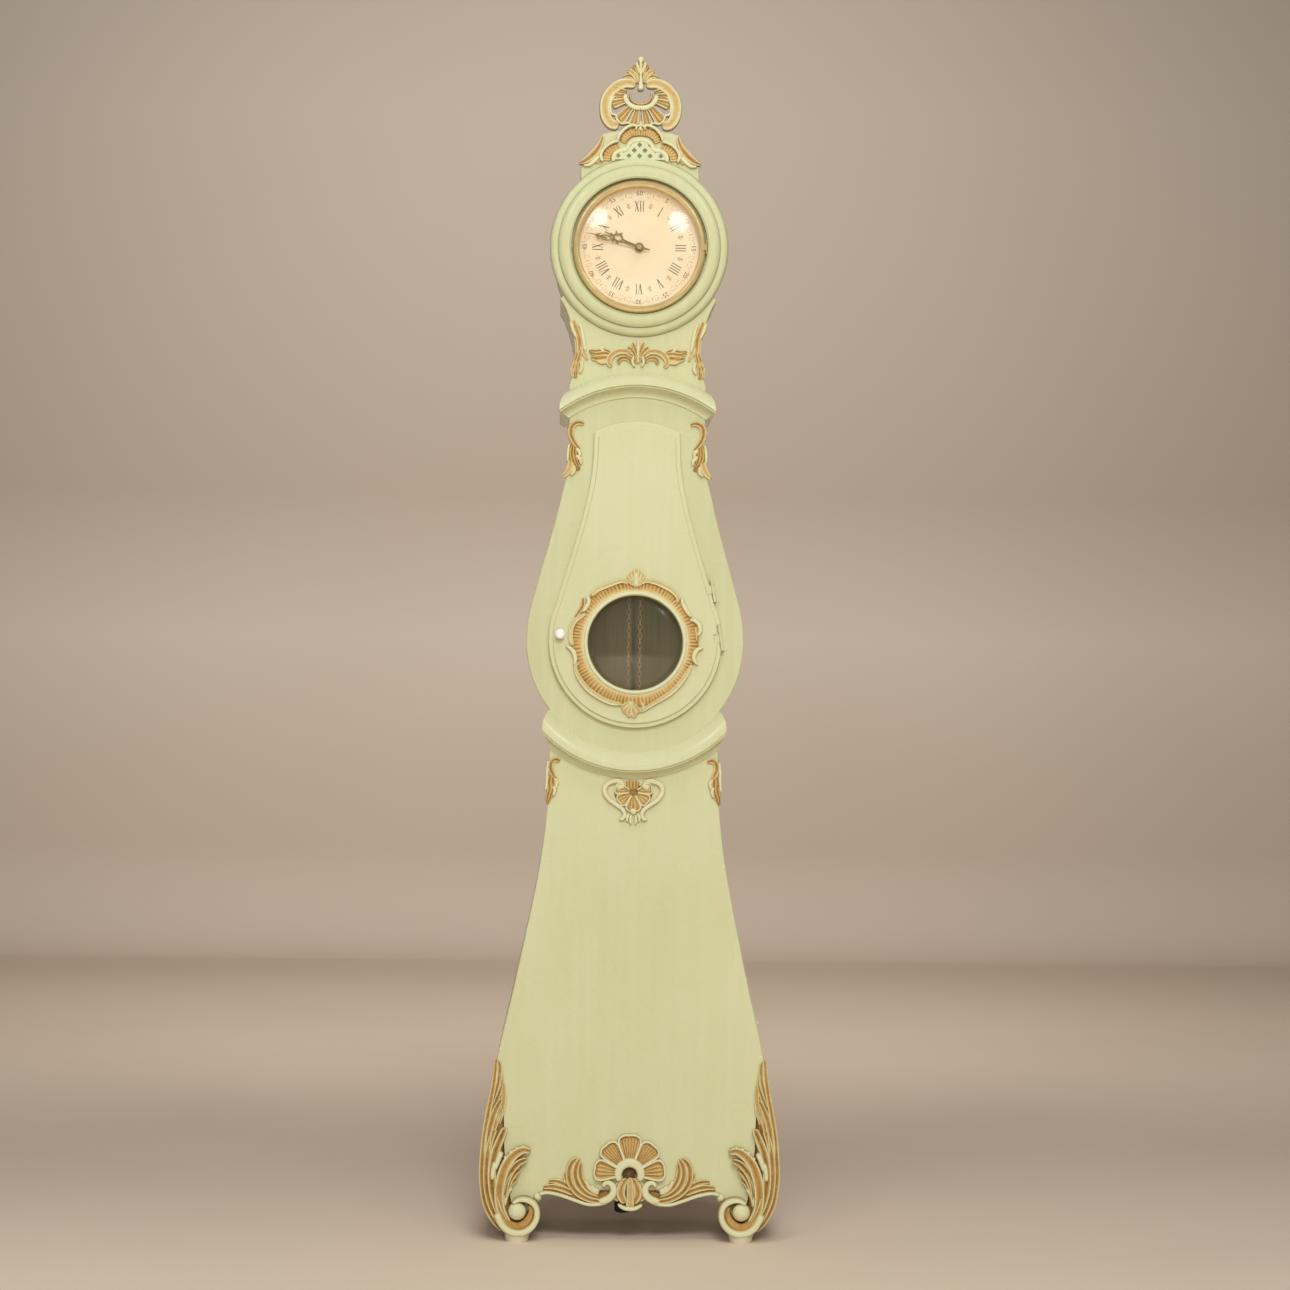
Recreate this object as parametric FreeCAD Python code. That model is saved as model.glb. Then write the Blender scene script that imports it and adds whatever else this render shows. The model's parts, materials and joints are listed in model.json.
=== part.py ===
import FreeCAD, Part
import math
import os

# Mora clock, a tall painted case clock. Millimetres, +Z up, front towards -Y, origin on the floor under it.
# Case boards, all cut from flat stock or bent to the outline of the front
case_depth = 240.0
front_board_thickness = 20.0
side_board_thickness = 13.0
back_board_thickness = 12.0
hood_side_thickness = 9.0
edge_round = 2.0
cut_overrun = 5.0

# Base: a bell that widens to the scrolled feet
base_top_half_width = 150.0
base_flare_half_width = 258.0
base_flare_z = 106.0
apron_z = 90.0
apron_rise = 6.0
base_side_bottom_z = 60.0
foot_scroll_x = 198.0
foot_scroll_z = 57.0
foot_scroll_radius = 43.0
foot_outer_shares = (1.16, -0.26)
foot_toe_share = 0.05
foot_sole_shares = (-0.6, -0.72)
foot_inner_share = 0.88
foot_carving_height = 34.0
foot_pad_radius = 22.5
foot_pad_height = 14.0
foot_pad_share = 0.86
rear_foot_width = 46.0
rear_foot_depth = 40.0
corner_block_width = 46.0
corner_block_depth = 38.0
corner_block_height = 105.0
base_bell_shares = [
    (0.016, 0.886), (0.096, 0.769), (0.234, 0.653), (0.404, 0.537), (0.581, 0.42), (0.786, 0.291),
    (0.945, 0.117)]

# Trunk: straight neck that swells to a round belly about the window
window_z = 1059.0
belly_radius = 193.0
trunk_top_half_width = 121.0
trunk_straight_z = 1385.0
waist_shares = [(0.09, 0.877), (0.31, 0.672), (0.66, 0.39), (0.9, 0.193)]

# Lower cornice, round about the window, and upper cornice, an arch
lower_cornice_foot_radius = 193.0
lower_cornice_lip_radius = 226.0
lower_cornice_end_radius = 240.5
lower_cornice_lip = 24.0
lower_cornice_side_lip = 11.5
lower_cornice_joint_radius = 216.0
upper_cornice_z = 1285.0
upper_cornice_foot_radius = 254.0
upper_cornice_lip_radius = 231.0
upper_cornice_end_radius = 211.0
upper_cornice_lip = 26.0
upper_cornice_side_lip = 17.5
upper_cornice_joint_radius = 235.0
cornice_fillet = 3.5
cornice_toe = 2.5
cornice_swell_share = 0.42
cornice_bulge_share = 0.78
cornice_hollow_share = 0.36

# Hood: neck, ears and a round drum about the dial, with a block on top
dial_z = 1763.5
hood_bottom_half_width = 121.6
neck_half_width = 112.0
neck_bottom_z = 1517.0
neck_z = 1576.0
ear_half_width = 139.5
ear_z = 1671.0
ear_tip_height = 12.0
drum_radius = 150.0
shoulder_half_width = 105.0
shoulder_z = 1905.0
hood_top_thickness = 12.0
block_half_width = 69.0
block_z = 1965.0
block_arch = 9.0
block_hollow_shares = (0.28, 0.36)
neck_shares = [(0.23, 0.45), (0.56, 0.76)]

# Ring moulding, bezel and dial
ring_outer_radius = 159.0
ring_step_radius = 147.5
ring_fillet_radius = 144.0
ring_bore_radius = 121.6
ring_height = 20.0
ring_rim_height = 11.0
hood_bore_radius = 112.0
bezel_outer_radius = 118.0
bezel_inner_radius = 106.5
bezel_back = 1.5
bezel_front = 17.0
bezel_rebate = 2.0
glass_thickness = 2.0
bezel_dome_rise = 18.0
bezel_hinge_gap = 1.4
bezel_knuckle_radius = 1.2
bezel_knuckle_length = 11.0
bezel_pin_radius = 0.6
dial_radius = 111.0
dial_thickness = 1.5
dial_setback = 1.0
dial_hole_radius = 6.5

# Hands
minute_hand_length = 92.0
hour_hand_length = 68.0
hand_thickness = 1.2
hour_hand_lobe_shares = [(0.36, 0.088), (0.62, 0.147)]
minute_hand_lobe_shares = [(0.3, 0.049), (0.52, 0.054), (0.74, 0.06)]
hand_wire_share = 0.022
hand_lobe_share = 0.085
hand_root_share = 0.02
hand_tip_share = 0.006
hour_hand_front = 4.6
minute_hand_front = 8.2
hand_tail_length = 20.0
hand_nut_radius = 4.2
hand_nut_height = 3.0
minute_hand_angle = 285.0
hour_hand_angle = 293.75

# Movement between two brass plates on the seat board
plate_half_width = 55.0
plate_below = 80.0
plate_above = 97.0
plate_thickness = 2.0
front_plate_setback = 32.0
plate_gap = 44.0
pillar_radius = 4.0
pillar_inset = 8.0
seat_thickness = 16.0
seat_depth = 68.0
seat_setback = 22.0
seat_slot_half_width = 24.0
seat_slot_depth = 22.0
cleat_width = 22.0
arbor_radius = 2.0
pivot_radius = 1.2
running_gap = 0.06
end_shake = 0.3
great_teeth = 72
centre_teeth = 64
third_teeth = 60
escape_teeth = 30
pinion_leaves = 8
great_module = 1.0
centre_module = 0.9
third_module = 0.8
wheel_shares = (0.9, 1.2, 0.24, 0.09)
pinion_shares = (0.7, 1.3, 0.24, 0.08)
escape_radius = 18.0
escape_root_share = 0.82
cannon_leaves = 20
minute_wheel_teeth = 60
minute_pinion_leaves = 16
hour_wheel_teeth = 64
motion_module = 0.6
motion_shares = (0.8, 1.2, 0.24, 0.09)
wheel_thickness = 2.5
pinion_length = 5.5
great_setback = 5.0
sprocket_setback = 18.0
centre_setback = 30.0
third_setback = 11.0
escape_setback = 37.0
motion_wheel_thickness = 2.0
motion_leaf_length = 4.0
motion_setback = 6.0
motion_depth = 20.0
cannon_pipe_radius = 2.6
hour_pipe_radius = 4.2
dial_foot_radius = 2.5
pallet_height = 25.5
pallet_gap = 1.3

# Chain, weight and pendulum
sprocket_radius = 10.0
sprocket_groove = 2.6
sprocket_width = 8.0
sprocket_flange = 1.6
chain_radius = 2.0
weight_radius = 15.0
weight_length = 230.0
weight_bottom_z = 42.0
weight_hook_length = 24.0
weight_hook_wire = 1.6
chain_loop_radius = 14.0
chain_loop_bottom_z = 46.0
chain_loop_top_z = 335.0
chain_hook_radius = 5.6
chain_hook_wire = 1.2
pendulum_length = 994.0
pendulum_setback = 18.0
pendulum_rod_radius = 2.8
bob_radius = 52.0
bob_thickness = 16.0
rating_nut_radius = 8.0
rating_nut_height = 6.0
rod_tail = 24.0
suspension_length = 14.0
suspension_thickness = 0.5
suspension_width = 7.0
cock_half_width = 8.0
cock_height = 13.0
cock_slot = 2.4
crutch_length = 62.0
crutch_width = 4.0
fork_gap = 0.3

# Door over the belly opening
door_gap = 0.8
door_thickness = 9.0
door_field_rise = 4.0
door_border = 8.0
door_top_half_width = 76.3
door_top_z = 1432.0
door_top_arch = 20.0
door_radius = 153.5
door_centre_z = 1061.5
door_rebate = 9.0
door_shares = [(0.035, 0.83), (0.178, 0.657), (0.391, 0.488), (0.644, 0.312), (0.89, 0.145)]
door_lean_share = 0.03
door_hole_radius = 90.0
door_glass_radius = 89.4
door_glass_thickness = 3.0
door_dome_radius = 83.0
door_dome_rise = 13.0
window_ring_radius = 84.0
window_ring_outer = 95.0
window_band_outer = 107.0
window_ring_rise = 7.0
window_band_rise = 5.0
retainer_inner = 82.0
retainer_outer = 99.0
retainer_thickness = 4.0
hinge_top_x = 137.2
hinge_top_z = 1155.5
hinge_bottom_x = 151.6
hinge_bottom_z = 1069.5
hinge_length = 46.0
knuckle_radius = 2.6
hinge_pin_radius = 1.2
hinge_leaf_thickness = 1.2
hinge_leaf_width = 9.0
knob_x = 133.5
knob_z = 1073.0
knob_radius = 9.3
knob_reach = 16.0
knob_neck_radius = 4.5
spindle_radius = 2.5
latch_length = 26.0
latch_width = 7.0
latch_thickness = 3.0
latch_gap = 0.8

# Carvings. A stroke is its start, a point on its way, its end, its width and its height, all in shares.
# Places and width are shares of the size, x outwards from the clock's middle, and the last of the height.
carving_height = 9.0
small_carving_height = 7.0
crest_thickness = 18.0
crest_carving_width = 71.0
crest_strokes_shares = [
    ((-0.27, 1.12), (-0.74, 0.91), (-0.895, 0.495), 0.25, 1.0),
    ((-0.895, 0.495), (-0.84, 0.25), (-0.62, 0.05), 0.25, 1.0),
    ((-0.2, 1.06), (-0.1, 0.99), (0.0, 0.97), 0.2, 0.9),
    ((0.0, 1.7), (0.0, 1.3), (0.0, 0.98), 0.15, 1.0),
    ((-0.12, 1.62), (-0.11, 1.45), (-0.03, 1.2), 0.13, 0.9),
    ((-0.27, 1.5), (-0.2, 1.3), (-0.05, 1.08), 0.12, 0.85),
    ((-0.44, 1.33), (-0.3, 1.27), (-0.1, 1.02), 0.13, 0.8),
    ((-0.31, 0.9), (-0.25, 0.66), (0.0, 0.53), 0.12, 0.9),
    ((-0.58, 0.86), (-0.44, 0.92), (-0.3, 0.8), 0.15, 0.8),
    ((-0.68, 0.4), (-0.6, 0.62), (-0.28, 0.62), 0.2, 0.8),
    ((-0.48, 0.2), (-0.42, 0.4), (-0.2, 0.52), 0.16, 0.75),
    ((-0.12, 0.5), (-0.12, 0.25), (-0.12, -0.02), 0.1, 0.7),
    ((-0.46, 0.24), (-0.4, 0.1), (-0.34, -0.02), 0.12, 0.7),
]
cartouche_carving_width = 71.0
cartouche_strokes_shares = [
    ((-0.94, -0.03), (-0.85, 0.22), (-0.55, 0.33), 0.2, 1.0),
    ((-0.55, 0.33), (-0.36, 0.66), (0.0, 0.78), 0.2, 1.0),
    ((-0.12, 0.84), (-0.06, 0.92), (0.0, 0.86), 0.1, 0.8),
]
cartouche_panel_shares = [(-0.88, -0.05), (-0.76, 0.2), (-0.5, 0.3), (-0.32, 0.58), (0.0, 0.7)]
lattice_pitch = 19.0
lattice_hole = 5.0
lattice_rows = 3
lattice_columns = 6
panel_floor = 1.0
bracket_shares = [((1.0, 0.66), (1.13, 0.3), (1.46, 0.1), 0.17, 1.0)]
neck_carving_width = 88.0
neck_carving_z = 1569.0
neck_strokes_shares = [
    ((0.0, 0.26), (0.0, 0.1), (0.0, -0.18), 0.16, 1.0),
    ((-0.1, 0.27), (-0.08, 0.2), (-0.02, 0.1), 0.09, 0.9),
    ((-0.11, 0.08), (-0.36, 0.1), (-0.55, -0.17), 0.11, 0.9),
    ((-0.2, -0.06), (-0.34, 0.0), (-0.42, -0.14), 0.1, 0.8),
    ((-0.54, -0.03), (-0.74, -0.1), (-0.98, 0.08), 0.1, 0.8),
    ((-0.06, -0.05), (-0.1, -0.12), (-0.16, -0.14), 0.08, 0.7),
]
strip_width = 58.0
neck_side_strokes_shares = [
    ((0.1, 0.93), (-0.1, 0.35), (-0.09, 0.0), 0.15, 1.0),
    ((-0.09, 0.0), (-0.06, -0.4), (0.06, -0.78), 0.15, 0.9),
    ((-0.11, 0.12), (-0.2, -0.12), (-0.32, -0.4), 0.12, 0.8),
]
trunk_side_strokes_shares = [
    ((-0.38, 1.13), (-0.04, 0.8), (-0.22, 0.45), 0.15, 1.0),
    ((-0.12, 0.3), (-0.08, 0.0), (-0.12, -0.35), 0.28, 0.8),
    ((-0.04, -0.3), (0.06, -0.48), (0.18, -0.56), 0.14, 0.7),
]
base_side_strokes_shares = [
    ((-0.29, 0.66), (-0.05, 0.5), (-0.11, 0.02), 0.18, 1.0),
    ((-0.12, 0.17), (-0.13, -0.26), (-0.02, -0.64), 0.24, 0.8),
]
shell_carving_width = 57.0
shell_drop_share = 0.8
corner_drop_share = 0.96
shell_strokes_shares = [
    ((-0.33, 0.58), (-0.82, 0.66), (-0.88, 0.235), 0.17, 1.0),
    ((-0.88, 0.235), (-0.67, -0.06), (-0.265, -0.2), 0.15, 1.0),
    ((-0.265, -0.2), (-0.2, -0.36), (-0.34, -0.54), 0.13, 0.9),
    ((0.0, 0.64), (0.0, 0.5), (0.0, 0.4), 0.46, 0.7),
    ((-0.14, 0.42), (-0.4, 0.46), (-0.62, 0.36), 0.26, 0.75),
    ((-0.08, 0.12), (-0.25, 0.2), (-0.46, 0.1), 0.28, 0.7),
    ((0.0, 0.1), (0.0, -0.05), (0.0, -0.16), 0.38, 0.7),
    ((0.0, -0.28), (0.0, -0.45), (0.0, -0.62), 0.22, 0.9),
    ((-0.1, -0.4), (-0.13, -0.55), (-0.1, -0.66), 0.1, 0.8),
]
apron_carving_height = 14.0
apron_carving_width = 164.0
apron_strokes_shares = [
    ((0.0, 0.45), (0.0, 0.35), (0.0, 0.25), 0.26, 0.8),
    ((-0.19, 0.44), (-0.15, 0.35), (-0.08, 0.26), 0.15, 0.75),
    ((-0.31, 0.26), (-0.22, 0.27), (-0.13, 0.22), 0.13, 0.7),
    ((-0.135, 0.11), (-0.1, 0.26), (0.0, 0.31), 0.13, 1.0),
    ((0.0, 0.07), (0.0, -0.02), (0.0, -0.11), 0.16, 0.9),
    ((-0.07, 0.06), (-0.1, 0.0), (-0.05, -0.07), 0.1, 0.8),
    ((-0.274, 0.014), (-0.253, 0.08), (-0.166, 0.03), 0.06, 0.9),
    ((-0.166, 0.03), (-0.28, -0.12), (-0.534, -0.084), 0.085, 1.0),
    ((-0.534, -0.084), (-0.7, 0.09), (-0.61, 0.32), 0.11, 0.8),
    ((-0.42, -0.06), (-0.47, 0.07), (-0.43, 0.14), 0.07, 0.7),
    ((-0.58, -0.07), (-0.75, -0.05), (-0.95, 0.055), 0.1, 0.8),
]
apron_hole_share = 0.18
apron_hole_radius = 10.5
foot_carving_width = 100.0
foot_ball_radius = 16.0
foot_strokes_shares = [
    ((0.337, 2.6), (0.46, 1.915), (0.56, 1.03), 0.1, 0.3),
    ((0.27, 2.25), (0.42, 1.47), (0.53, 0.58), 0.1, 0.35),
    ((0.23, 1.82), (0.34, 1.2), (0.5, 0.32), 0.11, 0.4),
    ((0.23, 1.45), (0.355, 0.85), (0.46, 0.14), 0.12, 0.45),
    ((-0.124, 1.06), (0.21, 0.74), (0.37, 0.14), 0.13, 0.5),
    ((-0.02, 0.72), (0.18, 0.44), (0.27, 0.05), 0.12, 0.55),
    ((0.57, 1.1), (0.62, 0.67), (0.56, 0.2), 0.12, 0.5),
    ((0.56, 0.2), (0.36, -0.22), (0.07, -0.36), 0.12, 0.8),
    ((0.07, -0.36), (-0.2, -0.3), (-0.3, -0.07), 0.12, 1.0),
    ((-0.3, -0.07), (-0.18, 0.158), (0.1, 0.158), 0.12, 1.0),
]
window_carving_width = 107.0
window_strokes_shares = [
    ((-0.147, 0.987), (-0.533, 0.915), (-0.78, 0.69), 0.12, 1.0),
    ((-0.84, 0.6), (-1.02, 0.17), (-1.1, -0.07), 0.11, 1.0),
    ((-0.987, -0.108), (-1.0, -0.384), (-0.8, -0.716), 0.11, 1.0),
    ((-0.8, -0.7), (-0.534, -0.97), (-0.174, -1.08), 0.12, 1.0),
    ((0.0, 1.2), (0.0, 1.1), (0.0, 1.0), 0.12, 1.0),
    ((-0.12, 1.22), (-0.1, 1.1), (-0.03, 0.98), 0.1, 0.9),
    ((0.0, -1.22), (0.0, -1.1), (0.0, -0.98), 0.14, 1.0),
    ((-0.14, -1.18), (-0.1, -1.08), (-0.03, -0.98), 0.1, 0.9),
]
window_carving_height = 8.0

front_y = -(case_depth + foot_carving_height) / 2 + foot_carving_height
back_y = front_y + case_depth
board_back_y = front_y + front_board_thickness
inner_back_y = back_y - back_board_thickness
axis_y = FreeCAD.Vector(0, 1, 0)
origin = FreeCAD.Vector(0, 0, 0)
parts = {}


def at(x, z, y=0.0):
    """A point given across, up and back."""
    return FreeCAD.Vector(x, y, z)


def line(a, b):
    """A straight edge from a to b."""
    return Part.LineSegment(a, b).toShape()


def arc(a, through, b):
    """A circular edge from a through a middle point to b."""
    return Part.Arc(a, through, b).toShape()


def curve(points):
    """A smooth edge through the points."""
    spline = Part.BSplineCurve()
    spline.interpolate(points)
    return spline.toShape()


def face_of(edges):
    """The flat face inside a closed run of edges."""
    return Part.Face(Part.Wire(Part.__sortEdges__(edges)))


def both_sides(edges):
    """The edges of a right half with their mirror images on the left."""
    return edges + [edge.mirror(origin, at(1, 0)) for edge in edges]


def prism(edges, y_from, y_to):
    """A flat outline drawn across and up, carried from one depth to another."""
    face = face_of(edges)
    face.translate(at(0, 0, y_from))
    return face.extrude(at(0, 0, y_to - y_from))


def box(x_from, x_to, y_from, y_to, z_from, z_to):
    """A block between three pairs of planes."""
    return Part.makeBox(x_to - x_from, y_to - y_from, z_to - z_from, at(x_from, z_from, y_from))


def rod(radius, y_from, y_to, x=0.0, z=0.0):
    """A cylinder along the depth of the clock."""
    return Part.makeCylinder(radius, y_to - y_from, at(x, z, y_from), axis_y)


def tube(outer, inner, y_from, y_to, x=0.0, z=0.0):
    """A cylinder along the depth with a round bore."""
    return rod(outer, y_from, y_to, x, z).cut(rod(inner, y_from - cut_overrun, y_to + cut_overrun, x, z))


def turned(profile, z, x=0.0):
    """A closed profile of (radius, y) points turned about an axis along the depth at height z."""
    points = [at(x + radius, z, y) for radius, y in profile]
    face = Part.Face(Part.makePolygon(points + points[:1]))
    return face.revolve(at(x, z), axis_y, 360)


def turned_edges(edges, z):
    """A closed run of edges turned about an axis along the depth at height z."""
    return face_of(edges).revolve(at(0, z), axis_y, 360)


def mirrored(shape):
    """The left-hand copy of a right-hand piece, or the other way round."""
    return shape.mirror(origin, at(1, 0))


def joined(shapes):
    """One shape from several that touch or overlap."""
    if len(shapes) == 1:
        return shapes[0]
    return shapes[0].multiFuse(shapes[1:]).removeSplitter()


def softened(shape, radius, y):
    """Rounds the edges of a board that lie in its front plane, at depth y."""
    edges = [
        edge for edge in shape.Edges if all(abs(vertex.Y - y) < radius / 100 for vertex in edge.Vertexes)]
    return shape.makeFillet(radius, edges)


def on_circle(radius, x, z, sign=1):
    """Height of a circle of that radius about height z, at distance x from the middle."""
    return z + sign * math.sqrt(radius ** 2 - x ** 2)


def ribbon(start, middle, end, width, y_from, y_to):
    """A strip of one width along the arc through three points, with round ends."""
    (x1, z1), (x2, z2), (x3, z3) = start, middle, end
    turn = 2 * (x1 * (z2 - z3) + x2 * (z3 - z1) + x3 * (z1 - z2))
    half = width / 2
    if abs(turn) < width ** 2 / 1000:
        return strip(start, end, half, y_from, y_to)
    s1, s2, s3 = x1 ** 2 + z1 ** 2, x2 ** 2 + z2 ** 2, x3 ** 2 + z3 ** 2
    cx = (s1 * (z2 - z3) + s2 * (z3 - z1) + s3 * (z1 - z2)) / turn
    cz = (s1 * (x3 - x2) + s2 * (x1 - x3) + s3 * (x2 - x1)) / turn
    radius = math.hypot(x1 - cx, z1 - cz)

    def offset(point, amount):
        share = 1 + amount / radius
        return at(cx + (point[0] - cx) * share, cz + (point[1] - cz) * share)

    def cap(point, sense):
        away = at(-(point[1] - cz) / radius * half * sense, (point[0] - cx) / radius * half * sense)
        return at(*point) + away

    sense = 1 if turn < 0 else -1
    edges = [
        arc(offset(start, half), offset(middle, half), offset(end, half)),
        arc(offset(end, half), cap(end, -sense), offset(end, -half)),
        arc(offset(end, -half), offset(middle, -half), offset(start, -half)),
        arc(offset(start, -half), cap(start, sense), offset(start, half)),
    ]
    return prism(edges, y_from, y_to)


def strip(start, end, half, y_from, y_to):
    """A straight strip between two points, with round ends."""
    along = at(*end) - at(*start)
    along.multiply(half / along.Length)
    across = at(-along.z, along.x)
    first, last = at(*start), at(*end)
    edges = [
        line(first + across, last + across),
        arc(last + across, last + along, last - across),
        line(last - across, first - across),
        arc(first - across, first - along, first + across),
    ]
    return prism(edges, y_from, y_to)


def carving(strokes, size, centre, y_back, height, mirror=False, side=1):
    """A carved ornament: ribbons in shares of a size about a centre, with their mirror images if asked."""
    solids = []
    for start, middle, end, width, lift in strokes:
        placed = [(centre[0] + side * x * size, centre[1] + z * size) for x, z in (start, middle, end)]
        stroke = ribbon(placed[0], placed[1], placed[2], width * size, y_back - height * lift, y_back)
        solids.append(stroke)
        if mirror and start[0]:
            solids.append(mirrored(stroke))
    return joined(solids)


def pair(strokes, size, x, z, height):
    """A carved ornament on the right edge of the case and its mirror image on the left edge."""
    right = carving(strokes, size, (x, z), front_y, height)
    return Part.makeCompound([right, mirrored(right)])


def save(name, shape):
    """Keeps a finished piece under its name."""
    parts[name] = shape


# Outlines of the case, each as the edges of its right half
base_top_z = on_circle(lower_cornice_joint_radius, base_top_half_width, window_z, -1)
base_straight_z = on_circle(lower_cornice_end_radius, base_top_half_width, window_z, -1)
belly_end_x = base_top_half_width + cornice_toe / 2
belly_end_z = on_circle(belly_radius, belly_end_x, window_z, -1)
trunk_top_z = on_circle(upper_cornice_joint_radius, trunk_top_half_width, upper_cornice_z)


def lower_joint(half_width):
    """The curved joint between base and trunk, behind the lower cornice."""
    lowest = at(0, window_z - lower_cornice_joint_radius)
    return arc(at(half_width, base_top_z), lowest, at(-half_width, base_top_z))


def upper_joint(half_width, end_z):
    """The arched joint between trunk and hood, behind the upper cornice."""
    highest = at(0, upper_cornice_z + upper_cornice_joint_radius)
    return arc(at(half_width, end_z), highest, at(-half_width, end_z))


def base_side_points(inset):
    """Points down the bell of the base, moved inwards by a board's thickness."""
    width = base_flare_half_width - base_top_half_width
    height = base_straight_z - base_flare_z
    points = [at(base_top_half_width - inset, base_straight_z)]
    points += [
        at(base_top_half_width - inset + width * x, base_flare_z + height * z) for x, z in base_bell_shares]
    return points + [at(base_flare_half_width - inset, base_flare_z)]


def base_outline(inset, bottom_z):
    """The base as a closed outline with a straight bottom edge and a top that follows the joint."""
    top = base_top_half_width - inset
    points = base_side_points(inset)
    flare = base_flare_half_width - inset
    half = [line(at(top, base_top_z), points[0]), curve(points)]
    half += [line(points[-1], at(flare, bottom_z)), line(at(flare, bottom_z), at(0, bottom_z))]
    return both_sides(half) + [lower_joint(top)]


def base_front_outline():
    """The base front with its scrolled feet and arched apron."""
    points = base_side_points(0)
    foot_left = foot_scroll_x - foot_scroll_radius * foot_inner_share
    toe_x = foot_scroll_x + foot_scroll_radius * foot_toe_share
    toe_z = foot_scroll_z - foot_scroll_radius
    outer, inner = [
        at(foot_scroll_x + foot_scroll_radius * x, foot_scroll_z + foot_scroll_radius * z)
        for x, z in (foot_outer_shares, foot_sole_shares)]
    half = [
        line(at(base_top_half_width, base_top_z), points[0]),
        curve(points),
        arc(points[-1], outer, at(toe_x, toe_z)),
        arc(at(toe_x, toe_z), inner, at(foot_left, foot_scroll_z)),
        line(at(foot_left, foot_scroll_z), at(foot_left, apron_z - apron_rise)),
    ]
    apron = arc(at(foot_left, apron_z - apron_rise), at(0, apron_z), at(-foot_left, apron_z - apron_rise))
    return both_sides(half) + [apron, lower_joint(base_top_half_width)]


def trunk_outline(inset):
    """The trunk: straight neck, waist, round belly, ended by the joints under the two cornices."""
    width = belly_radius - trunk_top_half_width
    height = trunk_straight_z - window_z
    points = [at(trunk_top_half_width - inset, trunk_straight_z)]
    points += [at(trunk_top_half_width - inset + width * x, window_z + height * z) for x, z in waist_shares]
    points += [at(belly_radius - inset, window_z)]
    end_x = belly_end_x - inset
    end_z = on_circle(belly_radius - inset, end_x, window_z, -1)
    through = at(on_circle(belly_radius - inset, (window_z - end_z) / 2, 0), (window_z + end_z) / 2)
    spline = Part.BSplineCurve()
    spline.interpolate(Points=points, InitialTangent=at(0, -1), FinalTangent=at(0, -1))
    half = [
        line(at(trunk_top_half_width - inset, trunk_top_z), points[0]),
        spline.toShape(),
        arc(points[-1], through, at(end_x, end_z)),
        line(at(end_x, end_z), at(base_top_half_width - inset, base_top_z)),
    ]
    top = upper_joint(trunk_top_half_width - inset, trunk_top_z)
    return both_sides(half) + [top, lower_joint(base_top_half_width - inset)]


def hood_side_edges(inset, top_half_width, top_z):
    """The right edge of the hood from the joint under the upper cornice to the shoulder."""
    rise = ear_z - neck_z
    swell = ear_half_width - neck_half_width
    points = [at(hood_bottom_half_width - inset, neck_bottom_z), at(neck_half_width - inset, neck_z)]
    points += [at(neck_half_width - inset + swell * x, neck_z + rise * z) for x, z in neck_shares]
    points += [at(ear_half_width - inset, ear_z)]
    radius = drum_radius - inset
    drum_x = math.sqrt(radius ** 2 - (dial_z - ear_z - ear_tip_height - inset) ** 2)
    drum_start = at(drum_x, ear_z + ear_tip_height + inset)
    drum_end = at(top_half_width, on_circle(radius, top_half_width, dial_z))
    return [
        line(at(hood_bottom_half_width - inset, hood_joint_z), points[0]),
        curve(points),
        line(points[-1], drum_start),
        arc(drum_start, at(radius, dial_z), drum_end),
        line(drum_end, at(top_half_width, top_z)),
    ]


hood_joint_z = on_circle(upper_cornice_joint_radius, hood_bottom_half_width, upper_cornice_z)


def hood_outline(inset, top_z):
    """The hood with a flat top at the shoulder, for its sides and back."""
    half = hood_side_edges(inset, shoulder_half_width - inset, top_z)
    half += [line(at(shoulder_half_width - inset, top_z), at(0, top_z))]
    return both_sides(half) + [upper_joint(hood_bottom_half_width - inset, hood_joint_z)]


def hood_front_outline():
    """The hood front with the hollow-sided block on its shoulders."""
    half = hood_side_edges(0, shoulder_half_width, shoulder_z)
    ledge = shoulder_half_width - block_half_width
    across, up = block_hollow_shares
    hollow = at(block_half_width + ledge * across, shoulder_z + (block_z - shoulder_z) * up)
    half += [arc(at(shoulder_half_width, shoulder_z), hollow, at(block_half_width, block_z))]
    top = arc(at(block_half_width, block_z), at(0, block_z + block_arch), at(-block_half_width, block_z))
    return both_sides(half) + [top, upper_joint(hood_bottom_half_width, hood_joint_z)]


def door_outline(inset):
    """The door: arched top, slender neck and a round foot about its own centre, all moved inwards."""
    width = door_radius - door_top_half_width
    height = door_top_z - door_centre_z
    top = at(door_top_half_width - inset, door_top_z - inset)
    points = [top]
    points += [
        at(door_top_half_width - inset + width * x, door_centre_z + height * z) for x, z in door_shares]
    points += [at(door_radius - inset, door_centre_z)]
    spline = Part.BSplineCurve()
    spline.interpolate(Points=points, InitialTangent=at(door_lean_share, -1), FinalTangent=at(0, -1))
    crown = arc(top, at(0, door_top_z + door_top_arch - inset), at(-top.x, top.z))
    lowest = at(0, door_centre_z - door_radius + inset)
    foot = arc(points[-1], lowest, at(inset - door_radius, door_centre_z))
    return both_sides([spline.toShape()]) + [crown, foot]


def halves(shape):
    """A shape cut in two at the middle of the clock: right and left."""
    limits = shape.BoundBox
    far = limits.XMax + cut_overrun
    right = box(
        0, far, limits.YMin - cut_overrun, limits.YMax + cut_overrun, limits.ZMin - cut_overrun,
        limits.ZMax + cut_overrun)
    return shape.common(right), shape.common(mirrored(right))


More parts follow.
